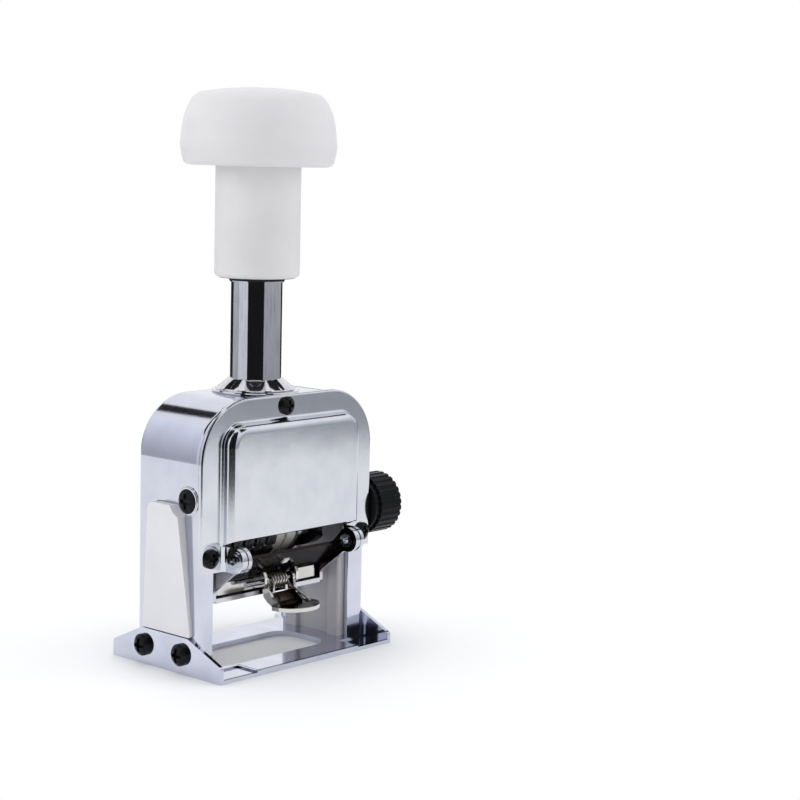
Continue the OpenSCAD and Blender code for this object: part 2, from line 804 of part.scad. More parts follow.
module knob_insert() {
  color("#b08d4a") translate([0, handle_y, knob_z + socket_h + fit]) difference() {
    cylinder(h = insert_h - fit, r = insert_r);
    translate([0, 0, -tiny]) cylinder(h = insert_h, r = rod_r + fit);
  }
}

module handle_sleeve() {
  bore_r = barrel_r + 0.3;
  lip_r = 1.2;
  color("#cdcbca") translate([0, handle_y, sleeve_z]) difference() {
    union() {
      translate([0, 0, lip_r]) cylinder(h = sleeve_len - lip_r, r = sleeve_r);
      cylinder(h = sleeve_len + socket_h, r = socket_r);
      rotate_extrude() translate([sleeve_r - lip_r, lip_r]) quarter_ring(0, lip_r, 1, -1);
    }
    translate([0, 0, -1]) cylinder(h = sleeve_len + socket_h + 2, r = bore_r);
  }
}

module plunger_rod() {
  color("silver") translate([0, handle_y, rod_z]) cylinder(h = rod_end - rod_z, r = rod_r);
}

module return_spring() {
  turns = 15;
  wire_r = 0.45;
  coil_r = (rod_r + barrel_r - barrel_wall) / 2;
  foot = barrel_z + barrel_floor + wire_r + 0.1;
  rise = knob_z + socket_h - wire_r - 0.1 - foot;
  per_turn = 12;
  steps = turns * per_turn;
  color("#8b8d90") translate([0, handle_y, foot]) wire(
    [for (i = [0:steps]) [coil_r * cos(360 * i / per_turn), coil_r * sin(360 * i / per_turn), rise * i / steps]],
    wire_r, 6
  );
}

module rod_nuts() {
  color("silver") translate([0, handle_y, 0]) {
    translate([0, 0, yoke_top]) hex_nut(rod_nut_r, rod_r + fit, rod_nut_h);
    translate([0, 0, yoke_top - yoke_t - rod_nut_h]) hex_nut(rod_nut_r, rod_r + fit, rod_nut_h);
  }
}

// A rubber washer that the nut brings up against the barrel's foot
module buffer_washer() {
  washer_r = rod_nut_r + 0.4;
  color("#2a2a2a") translate([0, handle_y, yoke_top + rod_nut_h]) difference() {
    cylinder(h = barrel_z - yoke_top - rod_nut_h - 0.3, r = washer_r);
    translate([0, 0, -1]) cylinder(h = barrel_z - yoke_top, r = rod_r + fit);
  }
}

// ---------- Carriage ----------

module carriage_frame() {
  y0 = wheel_y - side_front;
  y1 = wheel_y + side_back;
  foot_z = wheel_z - side_front;
  foot_r = side_front - 0.4;
  color("silver") difference() {
    union() {
      both_sides() across(side_in, side_t) polygon(rounded(
        [[y0, foot_z], [y1, foot_z], [y1, yoke_top], [y0, yoke_top]], [foot_r, foot_r, 0, 0]
      ));
      translate([-side_in - tiny, y0, yoke_top - yoke_t]) cube([2 * side_in + 2 * tiny, y1 - y0, yoke_t]);
    }
    translate([0, handle_y, yoke_top - yoke_t - 1]) cylinder(h = yoke_t + 2, r = rod_r + fit);
    rod_x(-side_out - 1, side_out + 1, wheel_y, wheel_z, shaft_r + fit);
    rod_x(-side_out - 1, side_out + 1, tie_y, tie_z, tie_r + fit);
  }
}

tie_r = 1.2;
tie_y = wheel_y + 3.5;
tie_z = wheel_z + type_r + 3.2;

module tie_rod() {
  color("silver") rod_x(-side_out, side_out, tie_y, tie_z, tie_r);
}

module wheel_shaft() {
  color("silver") rod_x(-side_out, side_out, wheel_y, wheel_z, shaft_r);
}

module spacer_disc() {
  color("silver") difference() {
    rod_x(spacer_x, spacer_x + spacer_w, wheel_y, wheel_z, type_r - 0.6);
    rod_x(spacer_x - 1, spacer_x + spacer_w + 1, wheel_y, wheel_z, shaft_r + fit);
  }
}

// A comb of leaf springs that hangs from the carriage's front and clicks into the ratchets
module click_springs() {
  leaf_t = 0.4;
  leaf_w = 0.3;
  y0 = wheel_y - ratchet_r - 0.7 - leaf_t;
  root_z = wheel_z + type_r + 2.7;
  tip_z = wheel_z - 1;
  seat_y = handle_y - rod_nut_r - swing_gap;
  x0 = -set_end;
  w = wheel_count * wheel_pitch;
  color("#b9bcc4") {
    translate([x0, y0, yoke_top - yoke_t - leaf_t]) cube([w, seat_y - y0, leaf_t]);
    translate([x0, y0, root_z]) cube([w, leaf_t, yoke_top - yoke_t - root_z]);
    for (i = [0:wheel_count - 1]) translate([ratchet_mid(i) - leaf_w / 2, y0, tip_z]) {
      cube([leaf_w, leaf_t, root_z - tip_z + tiny]);
      cube([leaf_w, leaf_t + 0.35, 1.6]);
    }
  }
}

// ---------- Number wheels ----------

stations = 12;
digits = 10;

function wheel_x(i) = i * wheel_pitch - set_end;
function ratchet_mid(i) = wheel_x(i) + ratchet_w / 2;

// One wheel from x = 0: the ratchet first, then the drum with its raised type.
// Ten stations carry type and the last two are blank.
module number_wheel(i, turn) {
  drum_r = type_r - type_h;
  type_x = ratchet_w;
  type_w = wheel_w - ratchet_w;
  half_angle = 12;
  inset = 0.12;
  translate([wheel_x(i), wheel_y, wheel_z]) rotate([turn, 0, 0]) difference() {
    union() {
      color("#b4b5b8") across(0, ratchet_w + tiny) polygon(ratchet_points(ratchet_r, 0.9, stations));
      color("#c9c9cb") rod_x(type_x, wheel_w, 0, 0, drum_r);
      for (k = [0:digits - 1]) color("#26262a") rotate([360 * k / stations, 0, 0])
        across(type_x + inset, type_w - 2 * inset) polygon(concat(
          arc(type_r, -half_angle, half_angle, 4),
          arc(drum_r - 0.3, half_angle, -half_angle, 2)
        ));
    }
    rod_x(-1, wheel_w + 1, 0, 0, shaft_r + fit);
  }
}

// At rest four wheels show type at the front and two show their blank stations
shows_type = 165;
shows_blank = 250;

module number_wheel_1() { number_wheel(0, shows_type); }
module number_wheel_2() { number_wheel(1, shows_type); }
module number_wheel_3() { number_wheel(2, shows_type); }
module number_wheel_4() { number_wheel(3, shows_type); }
module number_wheel_5() { number_wheel(4, shows_blank); }
module number_wheel_6() { number_wheel(5, shows_blank); }

// ---------- Repeat drum ----------

repeat_w = repeat_pitch - repeat_gap;

// A cam disc with a round notch at each listed angle
module cam_disc(x0, angles) {
  difference() {
    rod_x(x0, x0 + repeat_w, wheel_y, wheel_z, repeat_r);
    for (a = angles) translate([0, wheel_y, wheel_z]) rotate([a, 0, 0])
      rod_x(x0 - 1, x0 + repeat_w + 1, repeat_r + 0.6, 0, 1.7);
    rod_x(x0 - 1, x0 + repeat_w + 1, wheel_y, wheel_z, shaft_r + fit);
  }
}

module repeat_ratchet() {
  color("#2e2e31") difference() {
    translate([repeat_x, wheel_y, wheel_z]) across(0, repeat_w) polygon(ratchet_points(repeat_r, 1.1, stations));
    rod_x(repeat_x - 1, repeat_x + repeat_w + 1, wheel_y, wheel_z, shaft_r + fit);
  }
}

module repeat_cams() {
  hub_r = 4;
  collar_r = 3.2;
  drum_end = repeat_x + repeat_count * repeat_pitch - repeat_gap;
  color("#3a3a3e") {
    // The collar that keeps the wheels together
    difference() {
      rod_x(drum_end - tiny, side_in - 0.3, wheel_y, wheel_z, collar_r);
      rod_x(drum_end - 1, side_in + 1, wheel_y, wheel_z, shaft_r + fit);
    }
    cam_disc(repeat_x + repeat_pitch, [0, 60, 120, 180, 240, 300]);
    cam_disc(repeat_x + 2 * repeat_pitch, [30, 120, 210, 300]);
    for (k = [1, 2]) difference() {
      rod_x(repeat_x + k * repeat_pitch - repeat_gap - (k - 1) * tiny, repeat_x + k * repeat_pitch + tiny,
        wheel_y, wheel_z, hub_r);
      rod_x(repeat_x, repeat_x + repeat_count * repeat_pitch, wheel_y, wheel_z, shaft_r + fit);
    }
  }
}

// ---------- Feed pawl ----------

pawl_t = 0.8;
pawl_left = -set_end - pawl_t - 0.1;
pawl_right = spacer_x + spacer_w + 0.2;
comb_y = wheel_y + type_r + 0.5;
comb_t = 0.8;

// Two arms that swing on the wheel shaft, and the bar behind the wheels that joins them
module pawl_frame() {
  hub_r = 3.2;
  bar_z0 = wheel_z + 0.4;
  bar_z1 = wheel_z + 6.6;
  color("#9fa1a6") difference() {
    union() {
      for (x = [pawl_left, pawl_right]) {
        rod_x(x, x + pawl_t, wheel_y, wheel_z, hub_r);
        across(x, pawl_t) polygon([
          [wheel_y, wheel_z - hub_r + 0.4], [comb_y + comb_t, bar_z0], [comb_y + comb_t, bar_z1],
          [wheel_y, wheel_z + hub_r - 0.1]
        ]);
      }
      translate([pawl_left, comb_y, bar_z0])
        cube([pawl_right + pawl_t - pawl_left, comb_t, bar_z1 - bar_z0]);
    }
    rod_x(pawl_left - 1, pawl_right + pawl_t + 1, wheel_y, wheel_z, shaft_r + fit);
  }
}

// One finger for each ratchet, riveted in front of the bar
module pawl_comb() {
  finger_w = 0.3;
  tip_r = ratchet_r + 0.4;
  tip_a = 21;
  tip = [wheel_y + tip_r * cos(tip_a), wheel_z + tip_r * sin(tip_a)];
  color("#8d8f94") for (i = [0:wheel_count - 1])
    across(ratchet_mid(i) - finger_w / 2, finger_w) polygon([
      tip, [comb_y, tip[1] - 1.1], [comb_y, tip[1] + 2.6], [tip[0] + 1.2, tip[1] + 1.4]
    ]);
}

// ---------- Ink carrier ----------

eyelet_r = 1.5;
eyelet_rim_r = 1.8;

// An arm's outline: the round end at the pivot, the neck, and the side of the pan
module arm_outline() {
  polygon(rounded(
    [
      [pivot_y - 0.6, pivot_z - ear_r + 0.5], [pivot_y + 1.4, pivot_z - ear_r - 0.1],
      [pan_y0, pan_z + 2.9], [pan_y0, pan_z],
      [pan_y1, pan_z], [pan_y1, pad_top - 1.7], [wheel_y - 2, pad_top - 0.7],
      [wheel_y - 5.7, wheel_z - 9.6], [wheel_y - 8.6, wheel_z - 7.1], [pivot_y + 1.6, pivot_z + ear_r - 0.5]
    ],
    [0, 1, 1.5, 0.6, 1.4, 1, 1, 2, 2, 1]
  ));
}

module carrier_frame() {
  plate_top = [pivot_y + 2.2, pivot_z - 0.9];
  plate_foot = [wheel_y - 5.4, wheel_z - 12.8];
  slope = plate_foot - plate_top;
  hole = 1.7;
  hole_at = plate_top + 0.42 * slope;
  inner_w = 2 * arm_in - arm_shift + 2 * tiny;
  color("#3a3735") difference() {
    union() {
      arm_sides() {
        across(arm_in, arm_t) arm_outline();
        rod_x(arm_in, arm_out, pivot_y, pivot_z, ear_r);
      }
      // The strap under the tray
      translate([-arm_in - tiny, pan_y0, pan_z]) cube([inner_w, pan_y1 - pan_y0, strap_t]);
      // The sloping plate in front of the wheels
      translate([-arm_in - tiny, plate_top[0], plate_top[1]]) rotate([atan2(slope[1], slope[0]), 0, 0])
        cube([inner_w, norm(slope), 0.8]);
    }
    arm_sides() rod_x(arm_in - 1, arm_out + 1, pivot_y, pivot_z, eyelet_r + fit);
    // The window that shows when the tray is home
    translate([0, hole_at[0], hole_at[1]]) rotate([atan2(slope[1], slope[0]), 0, 0])
      cube([hole, hole, 4], center = true);
  }
}

lug_r = 1.3;
tray_y0 = pan_y0 + 0.4;
tray_y1 = pan_y1 - 0.3;
tray_half = arm_in - 0.3;
tray_step = 0.6;
tray_floor = tray_z + tray_step + tray_t;

// The tray: a foot plate, a wider box on it, and the lugs that carry the latch
module ink_tray() {
  foot_in = 0.8;
  color("#c4c2bd") difference() {
    union() {
      translate([0, 0, tray_z]) linear_extrude(tray_step + tiny) tray_outline(foot_in);
      difference() {
        translate([0, 0, tray_z + tray_step]) linear_extrude(tray_h - tray_step) tray_outline(0);
        translate([0, 0, tray_floor]) linear_extrude(tray_h) tray_outline(tray_t);
      }
      both_sides() across(lug_w / 2, latch_t) polygon(rounded(
        [
          [tray_y0 + tray_t / 2, tray_z + 0.8], [tray_y0 + tray_t / 2, tray_z + tray_h - 0.2],
          [latch_y + 1.6, latch_z + 0.9], [latch_y - 0.5, latch_z + 2.8],
          [latch_y - lug_r, latch_z + lug_r], [latch_y - lug_r, latch_z - lug_r]
        ],
        [0, 0, 0.3, 0.4, 0.4, 1]
      ));
    }
    rod_x(-lug_w, lug_w, latch_y, latch_z, latch_pin_r + fit);
  }
}

module tray_outline(g) {
  r = 1.6 - g;
  x0 = g - tray_half;
  x1 = tray_half - arm_shift - g;
  polygon(rounded([[x0, tray_y0 + g], [x1, tray_y0 + g], [x1, tray_y1 - g], [x0, tray_y1 - g]], [r, r, r, r]));
}

module ink_pad() {
  color("#4a4744") translate([0, 0, tray_floor]) linear_extrude(pad_top - tray_floor)
    tray_outline(tray_t + 0.1);
}

module pivot_eyelets() {
  hole_r = 0.9;
  rim = 0.35;
  color("silver") arm_sides() difference() {
    union() {
      rod_x(arm_in - slide_gap - rim, ear_out + washer_t + rim, pivot_y, pivot_z, eyelet_r);
      rod_x(arm_in - slide_gap - rim, arm_in - slide_gap, pivot_y, pivot_z, eyelet_rim_r);
      rod_x(ear_out + washer_t, ear_out + washer_t + rim, pivot_y, pivot_z, eyelet_rim_r);
    }
    rod_x(arm_in - 2, ear_out + 2, pivot_y, pivot_z, hole_r);
  }
}

washer_t = 0.3;

module pivot_washers() {
  washer_r = 2.4;
  color("#17171a") arm_sides() difference() {
    rod_x(ear_out, ear_out + washer_t, pivot_y, pivot_z, washer_r);
    rod_x(ear_out - 1, ear_out + 1, pivot_y, pivot_z, eyelet_r + fit);
  }
}

module pivot_bushes() {
  gap = 0.1;
  color("silver") arm_sides() difference() {
    rod_x(arm_out + gap, ear_in, pivot_y, pivot_z, ear_r - 0.2);
    rod_x(arm_out - 1, ear_in + 1, pivot_y, pivot_z, eyelet_r + fit);
  }
}

// ---------- Latch ----------

module latch_pin() {
  tail = 5.2;
  color("#b8b2a6") rod_x(-lug_w / 2 - latch_t - tail, lug_w / 2 + latch_t + 0.3, latch_y, latch_z, latch_pin_r);
}

// A torsion spring round the pin: one leg reaches the thumb tab, the other ends behind the left cheek
module latch_spring() {
  wire_r = 0.33;
  coil_r = 1.55;
  x0 = -3.3;
  x1 = 0.5;
  per_turn = 14;
  steps = latch_turns * per_turn;
  a0 = 120;
  color("#c9c4ba") translate([0, latch_y, latch_z]) wire(
    concat(
      [[x0 - 0.1, -2.1, -2.7], [x0 - 0.1, -2.2, -0.6], [x0 - 0.05, -1.75, 0.6]],
      [for (i = [0:steps]) let (a = a0 - 360 * i / per_turn)
        [x0 + (x1 - x0) * i / steps, coil_r * cos(a), coil_r * sin(a)]],
      [
        [x1 + 0.05, -1.6, 0.5], [x1 + 0.1, -2.1, -0.5], [x1 + 0.15, -2.9, -1.2],
        [x1 + 0.5, -9.5, -4.1], [x1 + 0.5, -10, -4.7]
      ]
    ),
    wire_r, 6
  );
}

// The latch: two cheeks on the pin, a sloping web between them and a dished thumb tab.
// All its outlines are drawn from the pin.
lever_gap = 0.25;
lever_half = lug_w / 2 - lever_gap;
lever_foot = -5.9;
tab_root = -2.7;
tab_mid = -5;
tab_t = 0.5;
tab_h = 0.9;

module latch_lever() {
  eye_r = 1.3;
  rim_w = 0.6;
  inner = lever_half - latch_t;
  color("#c4bfb5") translate([0, latch_y, latch_z]) {
    difference() {
      both_sides() across(inner, latch_t) {
        circle(r = eye_r);
        polygon([
          [-1.25, -0.3], [-1.6, -1.9], [-2.5, -3.5], [-3.9, -4.6], [-4.7, -5.05], [-4.7, lever_foot],
          [-2.9, lever_foot], [-1, -4.9], [0.2, -3.9], [0.9, -0.9]
        ]);
      }
      rod_x(-lug_w, lug_w, 0, 0, latch_pin_r + fit);
    }
    across(-inner - tiny, 2 * inner + 2 * tiny) polygon([
      [-0.1, -3.3], [-0.7, -3], [-2.7, -4.9], [-3.7, -5.3], [-3.7, lever_foot], [-2.7, lever_foot]
    ]);
    translate([0, 0, lever_foot - 0.05]) difference() {
      linear_extrude(tab_h) tab_outline(0);
      translate([0, 0, tab_t]) linear_extrude(1) tab_outline(rim_w);
    }
  }
}

// The thumb tab's outline, smaller by g: a half ellipse with a narrower root
module tab_outline(g) {
  root = lever_half - 0.25;
  steps = 20;
  polygon(concat(
    [[root - g, tab_root - g], [g - root, tab_root - g]],
    [for (i = [0:steps]) let (a = 180 + 180 * i / steps)
      [(tab_w / 2 - g) * cos(a), tab_mid + (tab_d - g) * sin(a)]]
  ));
}

// ---------- Repeat selector ----------

selector_sleeve_r = 2.9;
selector_sleeve_in = 1.5;
selector_bush_t = 0.7;
selector_x = half_w + selector_bush_t + 0.2;

module selector_bush() {
  color("silver") difference() {
    union() {
      rod_x(wall_in - selector_sleeve_in, half_w + selector_bush_t, -selector_front, selector_z, selector_sleeve_r);
      rod_x(half_w, half_w + selector_bush_t, -selector_front, selector_z, selector_sleeve_r + 1);
    }
    rod_x(wall_in - 3, half_w + 3, -selector_front, selector_z, selector_shaft_r + fit);
  }
}

module selector_shaft() {
  color("silver") rod_x(rail_x + 0.3, selector_x + selector_len - 1.2, -selector_front, selector_z, selector_shaft_r);
}

module selector_knob() {
  collar_w = 1.4;
  flute_r = 0.42;
  dish_r = selector_r - 2;
  color("#161619") translate([selector_x, -selector_front, selector_z]) rotate([0, 90, 0]) difference() {
    union() {
      cylinder(h = selector_len, r = selector_r - 0.7);
      translate([0, 0, collar_w]) cylinder(h = selector_len - collar_w - 0.5, r = selector_r);
    }
    for (k = [0:flutes - 1]) rotate(360 * k / flutes) translate([selector_r + 0.12, 0, collar_w - tiny])
      cylinder(h = selector_len, r = flute_r, $fn = 24);
    translate([0, 0, selector_len - 0.5]) cylinder(h = 1, r = dish_r);
    translate([0, 0, -1]) cylinder(h = selector_len - 0.2, r = selector_shaft_r + 0.03);
  }
}

// ---------- Drawing ----------

base_plate();
housing();
front_cover();
rear_cover();
guide_insert_left();
guide_insert_right();
base_screws();
front_cover_screws();
rear_cover_screws();
wall_screw();
wall_screw_cup();
barrel();
barrel_flange();
barrel_nut();
pivot_eyelets();
pivot_washers();
pivot_bushes();
selector_bush();
knob_cap();
knob_insert();
handle_sleeve();
plunger_rod();
return_spring();
rod_nuts();
buffer_washer();
carriage_frame();
tie_rod();
wheel_shaft();
spacer_disc();
click_springs();
number_wheel_1();
number_wheel_2();
number_wheel_3();
number_wheel_4();
number_wheel_5();
number_wheel_6();
repeat_ratchet();
repeat_cams();
pawl_frame();
pawl_comb();
carrier_frame();
ink_tray();
ink_pad();
latch_pin();
latch_spring();
latch_lever();
selector_knob();
selector_shaft();
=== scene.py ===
import itertools
import math
import random

import bpy
from mathutils import Matrix, Vector


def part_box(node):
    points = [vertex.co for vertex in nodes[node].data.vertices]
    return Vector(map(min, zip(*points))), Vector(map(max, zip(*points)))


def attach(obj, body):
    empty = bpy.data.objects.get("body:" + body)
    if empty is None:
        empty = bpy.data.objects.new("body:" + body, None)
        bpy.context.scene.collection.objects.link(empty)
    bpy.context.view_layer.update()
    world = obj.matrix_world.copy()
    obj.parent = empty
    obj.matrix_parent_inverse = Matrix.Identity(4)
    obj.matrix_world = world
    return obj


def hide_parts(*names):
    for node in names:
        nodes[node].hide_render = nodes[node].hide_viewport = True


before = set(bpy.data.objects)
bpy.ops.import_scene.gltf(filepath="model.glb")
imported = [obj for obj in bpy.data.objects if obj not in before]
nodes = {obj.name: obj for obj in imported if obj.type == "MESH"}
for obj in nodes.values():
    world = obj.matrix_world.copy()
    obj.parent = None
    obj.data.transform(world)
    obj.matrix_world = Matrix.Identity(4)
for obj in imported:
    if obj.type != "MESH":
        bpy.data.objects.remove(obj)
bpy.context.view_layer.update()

MM = 0.001
bpy.context.scene.view_settings.view_transform = "Standard"

# Places of the CAD model, in millimetres: +X is the right, +Y the back and +Z up
WHEEL_Y, WHEEL_Z = -1.0, 33.0        # the number wheels' shaft
DRUM_R, TYPE_R = 9.22, 10.3          # a wheel's drum, and the faces of its type
WHEEL_COUNT, WHEEL_PITCH, WHEELS_LEFT = 6, 3.75, -18.25
RATCHET_W, DRUM_W = 0.6, 3.0
PIVOT_Y, PIVOT_Z = -15.2, 27.4       # the ink carrier's pivot
LATCH_Y, LATCH_Z = -7.9, 18.9        # the latch lever's pin
HANDLE_Y = 1.0                       # the handle's upright axis

# Where painted shade or a second colour begins on a part, in millimetres
GUIDE_IN = 26.5                      # the guides lie inside the walls below this x
BASE_EDGE = -18.15                   # a painted line of shade and dark reflection lies on the base plate's top before this y
TRAY_FOOT, TRAY_FRONT = 17.02, -4.9  # the ink tray's foot, and its front wall; shade is painted below and before these
LUG_HALF = 4.5                       # half the space between the lugs that hold the latch
ARM_HALF, ARM_SHIFT = 17.58, 2.1     # half the space between the carrier's arms, and its shift to the left
STRAP_TOP = 16.42                    # the strap that joins the arms
LEVER_IN = 3.87                      # half the space between the latch lever's cheeks
WEB_REACH, DISH_DROP = 4.6, 5.3      # the lever's web before its pin, and the dish of its tab below it
EYELET_RIM_R = 1.8

WHITE = (1.0, 1.0, 1.0, 1.0)
STUDIO_TINT = (0.95, 0.98, 1.05)
# Second colours: painted shade on the tray, streaks in polish, painted shade on the guides and a painted line
# of shade along the base's front edge
SHADE_DARK, STREAK, GUIDE_SHADE, EDGE_LINE_SHADE = (40, 36, 36), (118, 116, 126), (190, 188, 192), (58, 60, 74)


# ---------------------------------------------------------------- materials

def lin(color):
    """An sRGB colour, 0 to 255, as linear RGBA."""
    out = []
    for value in color:
        value = value / 255.0
        out.append(value / 12.92 if value <= 0.04045 else ((value + 0.055) / 1.055) ** 2.4)
    return (*out, 1.0)


class Net:
    """A small helper that builds one material's node tree. Its textures lie in the object's own frame."""

    def __init__(self, name):
        self.mat = bpy.data.materials.new(name)
        self.mat.use_nodes = True
        self.tree = self.mat.node_tree
        self.tree.nodes.clear()
        self.out = self.add("ShaderNodeOutputMaterial")
        self.bsdf = self.add("ShaderNodeBsdfPrincipled")
        self.link(self.bsdf.outputs[0], self.out.inputs["Surface"])
        self.coord = self.add("ShaderNodeTexCoord").outputs["Object"]

    def add(self, kind, **props):
        node = self.tree.nodes.new(kind)
        for key, value in props.items():
            setattr(node, key, value)
        return node

    def link(self, a, b):
        self.tree.links.new(a, b)

    def put(self, value, socket):
        """Links another node's output to the socket, or sets a plain value on it."""
        if isinstance(value, bpy.types.NodeSocket):
            self.link(value, socket)
        else:
            socket.default_value = value

    def set(self, **values):
        names = {"metal": "Metallic", "spec": "Specular IOR Level", "sheen": "Sheen Weight",
                 "sub": "Subsurface Weight", "sub_scale": "Subsurface Scale"}
        for key, value in values.items():
            self.bsdf.inputs[names[key]].default_value = value

    def mapping(self, scale):
        node = self.add("ShaderNodeMapping")
        node.inputs["Scale"].default_value = scale
        self.link(self.coord, node.inputs["Vector"])
        return node.outputs[0]

    def noise(self, size_mm, detail, rough, seed, stretch=(1, 1, 1)):
        """Noise whose features are about size_mm across, stretched per axis."""
        scale = tuple(1000.0 / size_mm / s for s in stretch)
        node = self.add("ShaderNodeTexNoise", noise_dimensions="4D")
        node.inputs["W"].default_value = seed
        node.inputs["Scale"].default_value = 1.0
        node.inputs["Detail"].default_value = detail
        node.inputs["Roughness"].default_value = rough
        self.link(self.mapping(scale), node.inputs["Vector"])
        return node.outputs["Fac"]

    def ramp(self, fac, stops):
        node = self.add("ShaderNodeValToRGB")
        elements = node.color_ramp.elements
        while len(elements) < len(stops):
            elements.new(0.5)
        for element, (position, color) in zip(elements, stops):
            element.position = position
            element.color = color if isinstance(color, tuple) else (color, color, color, 1.0)
        self.link(fac, node.inputs[0])
        return node.outputs[0]

    def mix(self, fac, a, b):
        node = self.add("ShaderNodeMix", data_type="RGBA")
        for value, socket in ((fac, node.inputs[0]), (a, node.inputs[6]), (b, node.inputs[7])):
            self.put(value, socket)
        return node.outputs[2]

    def blend(self, fac, span, first, second, most=1.0):
        """From the first sRGB colour towards the second as fac climbs through the span.

        most is the second colour's greatest share.
        """
        share = self.ramp(fac, [(span[0], 0.0), (span[1], most)])
        return self.mix(share, lin(first), lin(second))

    def math(self, op, a, b=0.0, clamp=False):
        node = self.add("ShaderNodeMath", operation=op, use_clamp=clamp)
        for value, socket in zip((a, b), node.inputs):
            self.put(value, socket)
        return node.outputs[0]

    def below(self, value, limit):
        return self.math("LESS_THAN", value, limit)

    def above(self, value, limit):
        return self.math("GREATER_THAN", value, limit)

    def within(self, value, limit):
        return self.below(self.math("ABSOLUTE", value), limit)

    def both(self, a, b):
        return self.math("MULTIPLY", a, b)

    def either(self, a, b):
        return self.math("MAXIMUM", a, b)

    def axes(self, source=None):
        """The point in the object's frame, or another vector, as x, y, z."""
        node = self.add("ShaderNodeSeparateXYZ")
        self.link(source or self.coord, node.inputs[0])
        return node.outputs

    def normal(self):
        """The surface's own normal in the object's frame, as x, y, z."""
        return self.axes(self.add("ShaderNodeTexCoord").outputs["Normal"])

    def radius(self, y, z):
        """Distance from an axis along X, in mm."""
        _, py, pz = self.axes()
        dy = self.math("SUBTRACT", py, y * MM)
        dz = self.math("SUBTRACT", pz, z * MM)
        square = self.math("ADD", self.math("MULTIPLY", dy, dy), self.math("MULTIPLY", dz, dz))
        return self.math("MULTIPLY", self.math("SQRT", square), 1000.0)

    def color(self, socket):
        self.link(socket, self.bsdf.inputs["Base Color"])

    def roughness(self, socket, low, high):
        node = self.add("ShaderNodeMapRange")
        node.inputs["To Min"].default_value = low
        node.inputs["To Max"].default_value = high
        self.link(socket, node.inputs[0])
        self.link(node.outputs[0], self.bsdf.inputs["Roughness"])

    def bump(self, *layers):
        """Layers of (height socket, height in mm)."""
        last = None
        for height, depth in layers:
            node = self.add("ShaderNodeBump")
            node.inputs["Distance"].default_value = depth * MM
            node.inputs["Strength"].default_value = 1.0
            self.link(height, node.inputs["Height"])
            if last is not None:
                self.link(last, node.inputs["Normal"])
            last = node.outputs[0]
        self.link(last, self.bsdf.inputs["Normal"])

    def finish(self, grain, rough, depth):
        """Roughness and relief from one grain. Gives the finished material."""
        self.roughness(grain, *rough)
        self.bump((grain, depth))
        return self.mat


def plated(name, col, dark, rough, wave, grain=(1, 1, 1), grain_size=0.35, grain_depth=0.003, streak=0.0,
           shade_mask=None, shade_col=SHADE_DARK):
    """Nickel or chrome on sheet: slow waves, fine polishing marks and a drift between two tones.

    streak is how strongly the marks are tinted, and shade_mask gives the places where shade is painted in
    shade_col.
    """
    n = Net(name)
    n.set(metal=1.0)
    cloud = n.noise(9.0, 4.0, 0.6, seed=1.0)
    marks = n.noise(grain_size, 4.0, 0.7, seed=2.0, stretch=grain)
    sheet = n.blend(cloud, (0.35, 0.7), col, dark)
    if streak:
        sheet = n.mix(n.ramp(marks, [(0.5, 0.0), (0.75, streak)]), sheet, lin(STREAK))
    if shade_mask:
        sheet = n.mix(shade_mask(n), sheet, lin(shade_col))
    n.color(sheet)
    n.roughness(n.mix(0.5, cloud, marks), *rough)
    n.bump((n.noise(11.0, 1.0, 0.4, seed=3.0), wave), (marks, grain_depth))
    return n.mat


def moulded(name, col, shade, rough=(0.38, 0.5), spec=0.45, grain=0.25, depth=0.012, sub=0.0, shade_mask=None):
    """Moulded plastic: a fine grain and a slow drift of colour, with painted shade where shade_mask says."""
    n = Net(name)
    n.set(metal=0.0, spec=spec, sub=sub, sub_scale=0.002)
    body = n.blend(n.noise(14.0, 3.0, 0.5, seed=4.0), (0.3, 0.75), col, shade)
    if shade_mask:
        body = n.mix(shade_mask(n), body, lin(GUIDE_SHADE))
    n.color(body)
    return n.finish(n.noise(grain, 3.0, 0.6, seed=5.0), rough, depth)


def blackened(name, col, wear, rough):
    """Oxidised steel: nearly black, with faint bright wear."""
    n = Net(name)
    n.set(metal=0.75)
    n.color(n.blend(n.noise(1.6, 5.0, 0.7, seed=6.0), (0.55, 0.8), col, wear, most=0.35))
    return n.finish(n.noise(0.25, 3.0, 0.6, seed=7.0), rough, 0.008)


def turned(name, col, dark, axis, rough):
    """Turned metal: fine rings round the part's axis."""
    n = Net(name)
    n.set(metal=1.0)
    stretch = [6.0, 6.0, 6.0]
    stretch["XYZ".index(axis)] = 1.0
    n.color(n.blend(n.noise(6.0, 3.0, 0.6, seed=9.0), (0.35, 0.75), col, dark))
    return n.finish(n.noise(0.22, 3.0, 0.7, seed=8.0, stretch=tuple(stretch)), rough, 0.004)


def wheel_material():
    """A pale drum, and inked type and ratchet teeth outside it."""
    n = Net("number_wheel")
    grain = n.noise(0.4, 4.0, 0.65, seed=11.0)
    pale = n.blend(grain, (0.3, 0.8), (222, 219, 213), (186, 182, 176))
    ink = n.blend(grain, (0.45, 0.9), (30, 30, 33), (70, 70, 74), most=0.6)
    past_drum = n.math("SUBTRACT", n.radius(WHEEL_Y, WHEEL_Z), DRUM_R)
    n.color(n.mix(n.math("MULTIPLY", past_drum, 10.0, clamp=True), pale, ink))
    n.set(metal=0.2, spec=0.4)
    return n.finish(grain, (0.25, 0.45), 0.01)


def ink_mist(n):
    """Painted shade on the guides inside the housing, where less light reaches."""
    return n.within(n.axes()[0], GUIDE_IN * MM)


def front_edge(n):
    """Painted shade and dark reflection: a dark line along the base plate's front upper edge."""
    return n.both(n.above(n.normal()[2], 0.9), n.below(n.axes()[1], BASE_EDGE * MM))


def tray_corners(n):
    """Painted shade on the tray: its foot, and its front wall between the two lugs."""
    x, y, z = n.axes()
    between = n.both(n.within(x, LUG_HALF * MM), n.below(y, TRAY_FRONT * MM))
    return n.either(n.below(z, TRAY_FOOT * MM), between)


